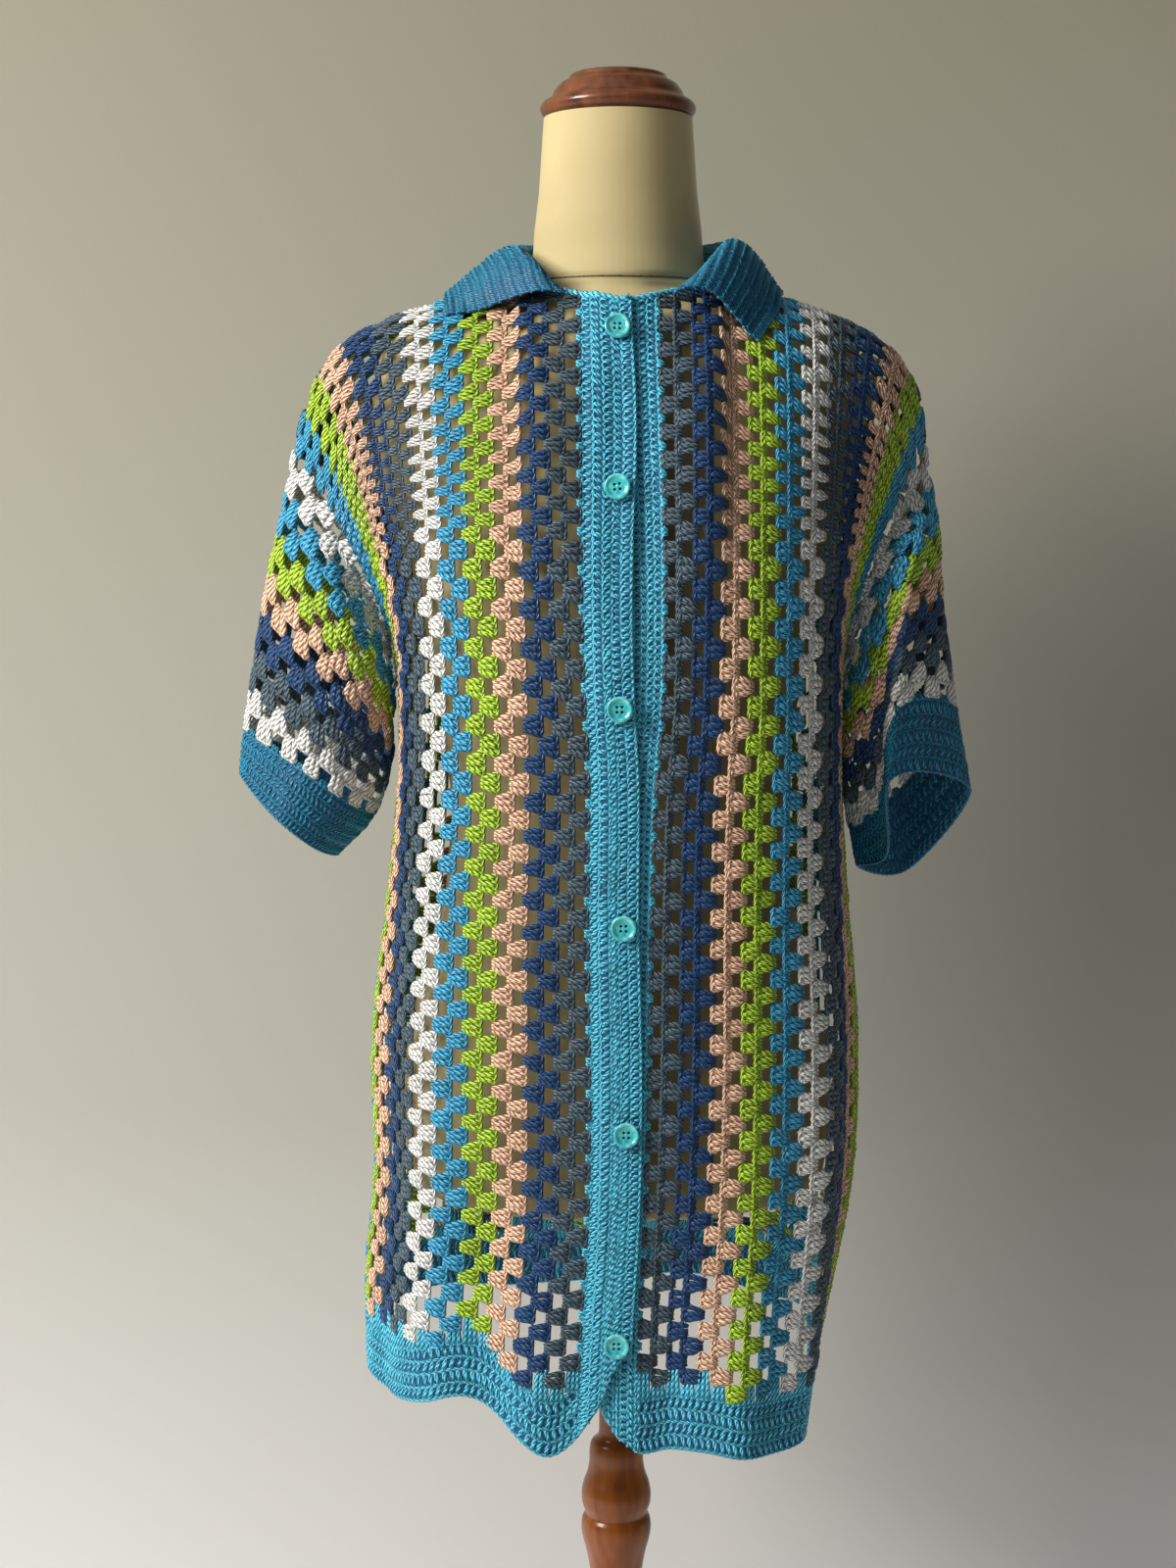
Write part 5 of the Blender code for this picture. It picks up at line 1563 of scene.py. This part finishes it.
def band_chart(side):
    """A front band; the buttonhole band spreads a little further over the other one below its top."""

    def place_of(share, v):
        spread = BAND_SPREAD * ease(v / BAND_SPREAD_FULL) if side == RIGHT else 0.0
        return BAND_EDGE - (BAND_EDGE + BAND_INNER + spread) * share

    def normal_at(share, v):
        return body_normal(side, FRONT, place_of(share, v), v)

    def point_at(share, v):
        s = place_of(share, v)
        lift = band_lift(s) if side == RIGHT else np.zeros_like(s)
        return body_point(side, FRONT, s, v) + normal_at(share, v) * lift[..., None]

    return chart(point_at, normal_at, np.linspace(0.0, 1.0, BAND_COLUMNS), DOWN_THE_BODY)


def sleeve_chart(side, start, end, steps):
    firsts, seconds = np.linspace(0.0, 1.0, SLEEVE_COLUMNS), np.linspace(start, end, steps)
    return chart(partial(sleeve_point, side), partial(sleeve_normal, side), firsts, seconds, wraps=True)


def collar_chart():
    firsts, seconds = np.linspace(-1.0, 1.0, COLLAR_COLUMNS), np.linspace(0.0, 1.0, COLLAR_STEPS)

    def point_at(c, q):
        points = collar_point(c, q)
        outer = seconds >= COLLAR_CLEAR_FROM
        points[:, outer] = clear_of_panels(points[:, outer], WALL + COLLAR_EASE)
        return points

    return chart(point_at, collar_normal, firsts, seconds)


def front_colour(r):
    return FRONT_COLOURS[FRONT_STRIPES - 1 - r // 2]


def back_colour(r):
    """Mirrored about the centre stripe."""
    return BACK_COLOURS[min(r // 2, BACK_ROWS // 2 - 1 - r // 2)]


def add_ridges(work, surface, starts, ends):
    """A raised line of loops up the middle of each stripe."""
    shares = np.linspace(0.0, 1.0, len(ends))
    for r in range(1, FRONT_ROWS, 2):
        place = 1.0 - r / FRONT_ROWS
        span = [np.interp(place, shares, counts) for counts in (starts, ends - RIDGE_SHORT)]
        add_cord(work, surface, place, RIDGE_LOOPS * MOST_CLUSTERS, True, YARN_ORDER.index(front_colour(r)),
                 RIDGE_LIFT, RIDGE_RADIUS, np.array(span) / MOST_CLUSTERS)


def make_nets(yarns):
    """The open cloth; returns the panels' charts for the trims."""
    rng = np.random.default_rng(NET_SEED)
    charts = {}
    for word, side in SIDES:
        surface, starts, ends = charts[side] = front_chart(side)
        work = new_work()
        add_net(work, surface, starts, ends, range(FRONT_ROWS), FRONT_ROWS, front_colour, False, rng)
        net = finish_work(f"front_net_{word}", work, yarns)
        settle(net, [f"front_{word}"])
        ridges = []
        if side == LEFT:
            work = new_work()
            add_ridges(work, surface, starts, ends)
            ridges.append(finish_work(f"front_ridges_{word}", work, yarns))
            settle(ridges[0], [])

    surface, starts, ends = charts["back"] = back_chart()
    half = BACK_ROWS // 2
    for word, rows in (("right", range(half)), ("left", range(half, BACK_ROWS))):
        work = new_work()
        add_net(work, surface, starts, ends, rows, BACK_ROWS, back_colour, True, rng)
        net = finish_work(f"back_net_{word}", work, yarns)
        settle(net, ["back"])

    for word, side in SIDES:
        surface = charts["sleeve", side] = sleeve_chart(side, 0.0, CUFF_START, SLEEVE_STEPS)
        work = new_work()
        add_rings(work, surface, SLEEVE_ROWS, CLUSTERS_ROUND, lambda r: SLEEVE_COLOURS[r // 2], rng)
        net = finish_work(f"sleeve_net_{word}", work, yarns)
        settle(net, [f"sleeve_{word}"])
    return charts


def trim(name, surface, grid, stitches, rows, rows_run_second, slant, cloth, yarns, rng,
         add_more=None, colour="azure"):
    """A dense piece: a thin closed sheet with rows of stitches through it."""
    sheet = backing(f"{name}_cloth", surface, *grid, cloth)
    settle(sheet, [name])
    work = new_work()
    yarn = YARN_ORDER.index(colour)
    add_close_rows(work, surface, rows, stitches, rows_run_second, slant, yarn, rng)
    if add_more:
        add_more(work, yarn)
    face = finish_work(f"{name}_stitches", work, yarns)
    settle(face, [])


def make_trims(yarns, cloth, charts):
    rng = np.random.default_rng(TRIM_SEED)
    for name, side in (("buttonhole_band", RIGHT), ("button_band", LEFT)):
        panel = charts[side]

        def add_edges(work, yarn):
            add_band_teeth(work, *panel, yarn)
            add_neck_edging(work, side, yarn)

        trim(name, band_chart(side), BAND_GRID, BAND_STITCHES, BAND_ROWS,
             True, BAND_SLANT, cloth, yarns, rng, add_edges)
    for word, side in SIDES:
        panel, _, ends = charts[side]
        trim(f"hem_front_{word}", hem_chart(side),
             (FRONT_COLUMNS, HEM_GRID_ROWS), HEM_STITCHES, HEM_ROWS, False, TRIM_SLANT, cloth, yarns, rng,
             lambda work, yarn: add_hem_teeth(work, panel, ends, FRONT_ROWS, False, yarn))
        sleeve = charts["sleeve", side]
        # the cuffs take the darker copy of the azure yarn, as painted shade
        trim(f"cuff_{word}", sleeve_chart(side, CUFF_START, CUFF_END, HEM_STEPS),
             (SLEEVE_COLUMNS, HEM_GRID_ROWS), CUFF_STITCHES, CUFF_ROWS, False, TRIM_SLANT, cloth, yarns, rng,
             lambda work, yarn: add_cuff_teeth(work, sleeve, yarn), "azure_painted_shade")
    panel, _, ends = charts["back"]
    trim("hem_back", back_hem_chart(), (BACK_COLUMNS, HEM_GRID_ROWS), 2 * HEM_STITCHES,
         HEM_ROWS, False, TRIM_SLANT, cloth, yarns, rng,
         lambda work, yarn: add_hem_teeth(work, panel, ends, BACK_ROWS, True, yarn))
    # the collar takes the darker copy of the azure yarn, as painted shade
    trim("collar", collar_chart(), (COLLAR_COLUMNS, COLLAR_GRID_ROWS), COLLAR_STITCHES,
         COLLAR_ROWS, False, TRIM_SLANT, cloth, yarns, rng, colour="azure_painted_shade")


def band_place(surface, z):
    """Point and outward direction on the buttonhole band's outer side at the height z."""
    share = np.linspace(0.0, 1.0, BUTTON_SEARCH_STEPS)
    line, normal = read_chart(surface, np.full_like(share, BUTTON_ACROSS), share)
    i = int(np.argmin(np.abs(line[:, 2] - z)))
    return line[i] + normal[i] * WALL / 2, normal[i]


def drill_holes(blank):
    """Cuts the thread holes through a button and applies the cuts."""
    for k in range(BUTTON_HOLES):
        turn = 2 * math.pi * (k + 0.5) / BUTTON_HOLES
        bpy.ops.mesh.primitive_cylinder_add(
            vertices=DRILL_SIDES,
            radius=HOLE_RADIUS,
            depth=DRILL_LENGTH,
            location=(HOLE_PLACE * math.cos(turn), HOLE_PLACE * math.sin(turn), 0.0),
        )
        cut = blank.modifiers.new("hole", "BOOLEAN")
        cut.operation = "DIFFERENCE"
        cut.object = bpy.context.object
    graph = bpy.context.evaluated_depsgraph_get()
    mesh = bpy.data.meshes.new_from_object(blank.evaluated_get(graph))
    for cut in list(blank.modifiers):
        bpy.data.objects.remove(cut.object, do_unlink=True)
    blank.modifiers.clear()
    blank.data = mesh


def make_buttons(pearl):
    surface = band_chart(RIGHT)
    outline = soften(BUTTON_PROFILE, 1) * np.array([BUTTON_RADIUS, BUTTON_THICK])
    for number, height in enumerate(BUTTON_HEIGHTS, start=1):
        point, facing = band_place(surface, height)
        shell = lathe(f"button_shell_{number}", outline, pearl, BUTTON_STEPS, BUTTON_SHARP)
        drill_holes(shell)
        shell.location = point + facing * BUTTON_SEAT
        across = np.cross([0.0, 0.0, 1.0], facing)
        shell.rotation_mode = "AXIS_ANGLE"
        shell.rotation_axis_angle = (math.acos(facing[2]), *unit(across))
        settle(shell, [f"button_{number}"])


def make_studio():
    """A floor that curves up into a wall."""
    low = STUDIO_WALL_Y - STUDIO_CORNER
    profile = [(STUDIO_FRONT_Y, 0.0), (low, 0.0)]
    for a in np.linspace(0.1, math.pi / 2, 10):
        profile.append((low + STUDIO_CORNER * math.sin(a), STUDIO_CORNER * (1.0 - math.cos(a))))
    profile.append((STUDIO_WALL_Y, STUDIO_TOP))
    points = [(x, y, z) for y, z in profile for x in (-STUDIO_HALF, STUDIO_HALF)]
    faces = [(2 * i, 2 * i + 1, 2 * i + 3, 2 * i + 2) for i in range(len(profile) - 1)]
    mesh = bpy.data.meshes.new("studio")
    mesh.from_pydata(points, [], faces)
    mesh.shade_smooth()
    mesh.materials.append(stage_material("studio_wall", STUDIO_FALLOFF_TONES, STUDIO_FALLOFF_TOP))
    placed("studio", mesh)


def make_lights():
    for name, place, size, power, colour in LIGHTS:
        light = bpy.data.lights.new(name, "AREA")
        light.shape = "RECTANGLE"
        light.size, light.size_y = size
        light.energy = power
        light.color = colour
        obj = placed(name, light)
        obj.location = place
        obj.rotation_euler = (Vector(LIGHTS_AIM) - Vector(place)).to_track_quat("-Z", "Y").to_euler()
    world = bpy.data.worlds.new("soft_room")
    bpy.context.scene.world = world
    world.use_nodes = True
    background = world.node_tree.nodes["Background"]
    background.inputs["Color"].default_value = SKY_COLOUR
    background.inputs["Strength"].default_value = SKY_STRENGTH


def make_camera():
    data = bpy.data.cameras.new("camera")
    data.sensor_fit = "VERTICAL"
    data.sensor_height = CAMERA_SENSOR
    data.lens = CAMERA_LENS
    camera = placed("camera", data)
    camera.location = CAMERA_PLACE
    camera.rotation_euler = (math.radians(90 - CAMERA_DOWN), 0.0, 0.0)
    bpy.context.scene.camera = camera
    bpy.context.scene.view_settings.view_transform = "Standard"


SEAMS = {side: armhole(side, SEAM_POINTS) for side in (RIGHT, LEFT)}


def main():
    yarns = {name: yarn_material(name, lit, painted_shade) for name, (lit, painted_shade) in YARNS.items()}
    # the trims' sheet is dark as painted shade between their stitches
    cloth = backing_material("azure_ground_painted_shade", *YARNS["azure"])
    canvas = canvas_material()
    cap_wood = wood_material("dark_stained_maple", *CAP_WOOD)
    stand_wood = wood_material("amber_varnished_beech", *STAND_WOOD)
    settle(make_form(canvas), ["form_torso"])
    make_neck_seam()
    cap = [(radius, CAP_BOTTOM + height) for radius, height in CAP_PROFILE]
    settle(lathe("cap_turned", soften(cap), cap_wood), ["neck_cap"])
    settle(lathe("post_turned", soften(POST_PROFILE), stand_wood), ["stand_post"])
    settle(lathe("base_turned", soften(BASE_PROFILE), stand_wood), ["stand_base"])
    charts = make_nets(yarns)
    make_trims(yarns, cloth, charts)
    make_buttons(pearl_material())
    make_studio()
    make_lights()
    make_camera()


main()
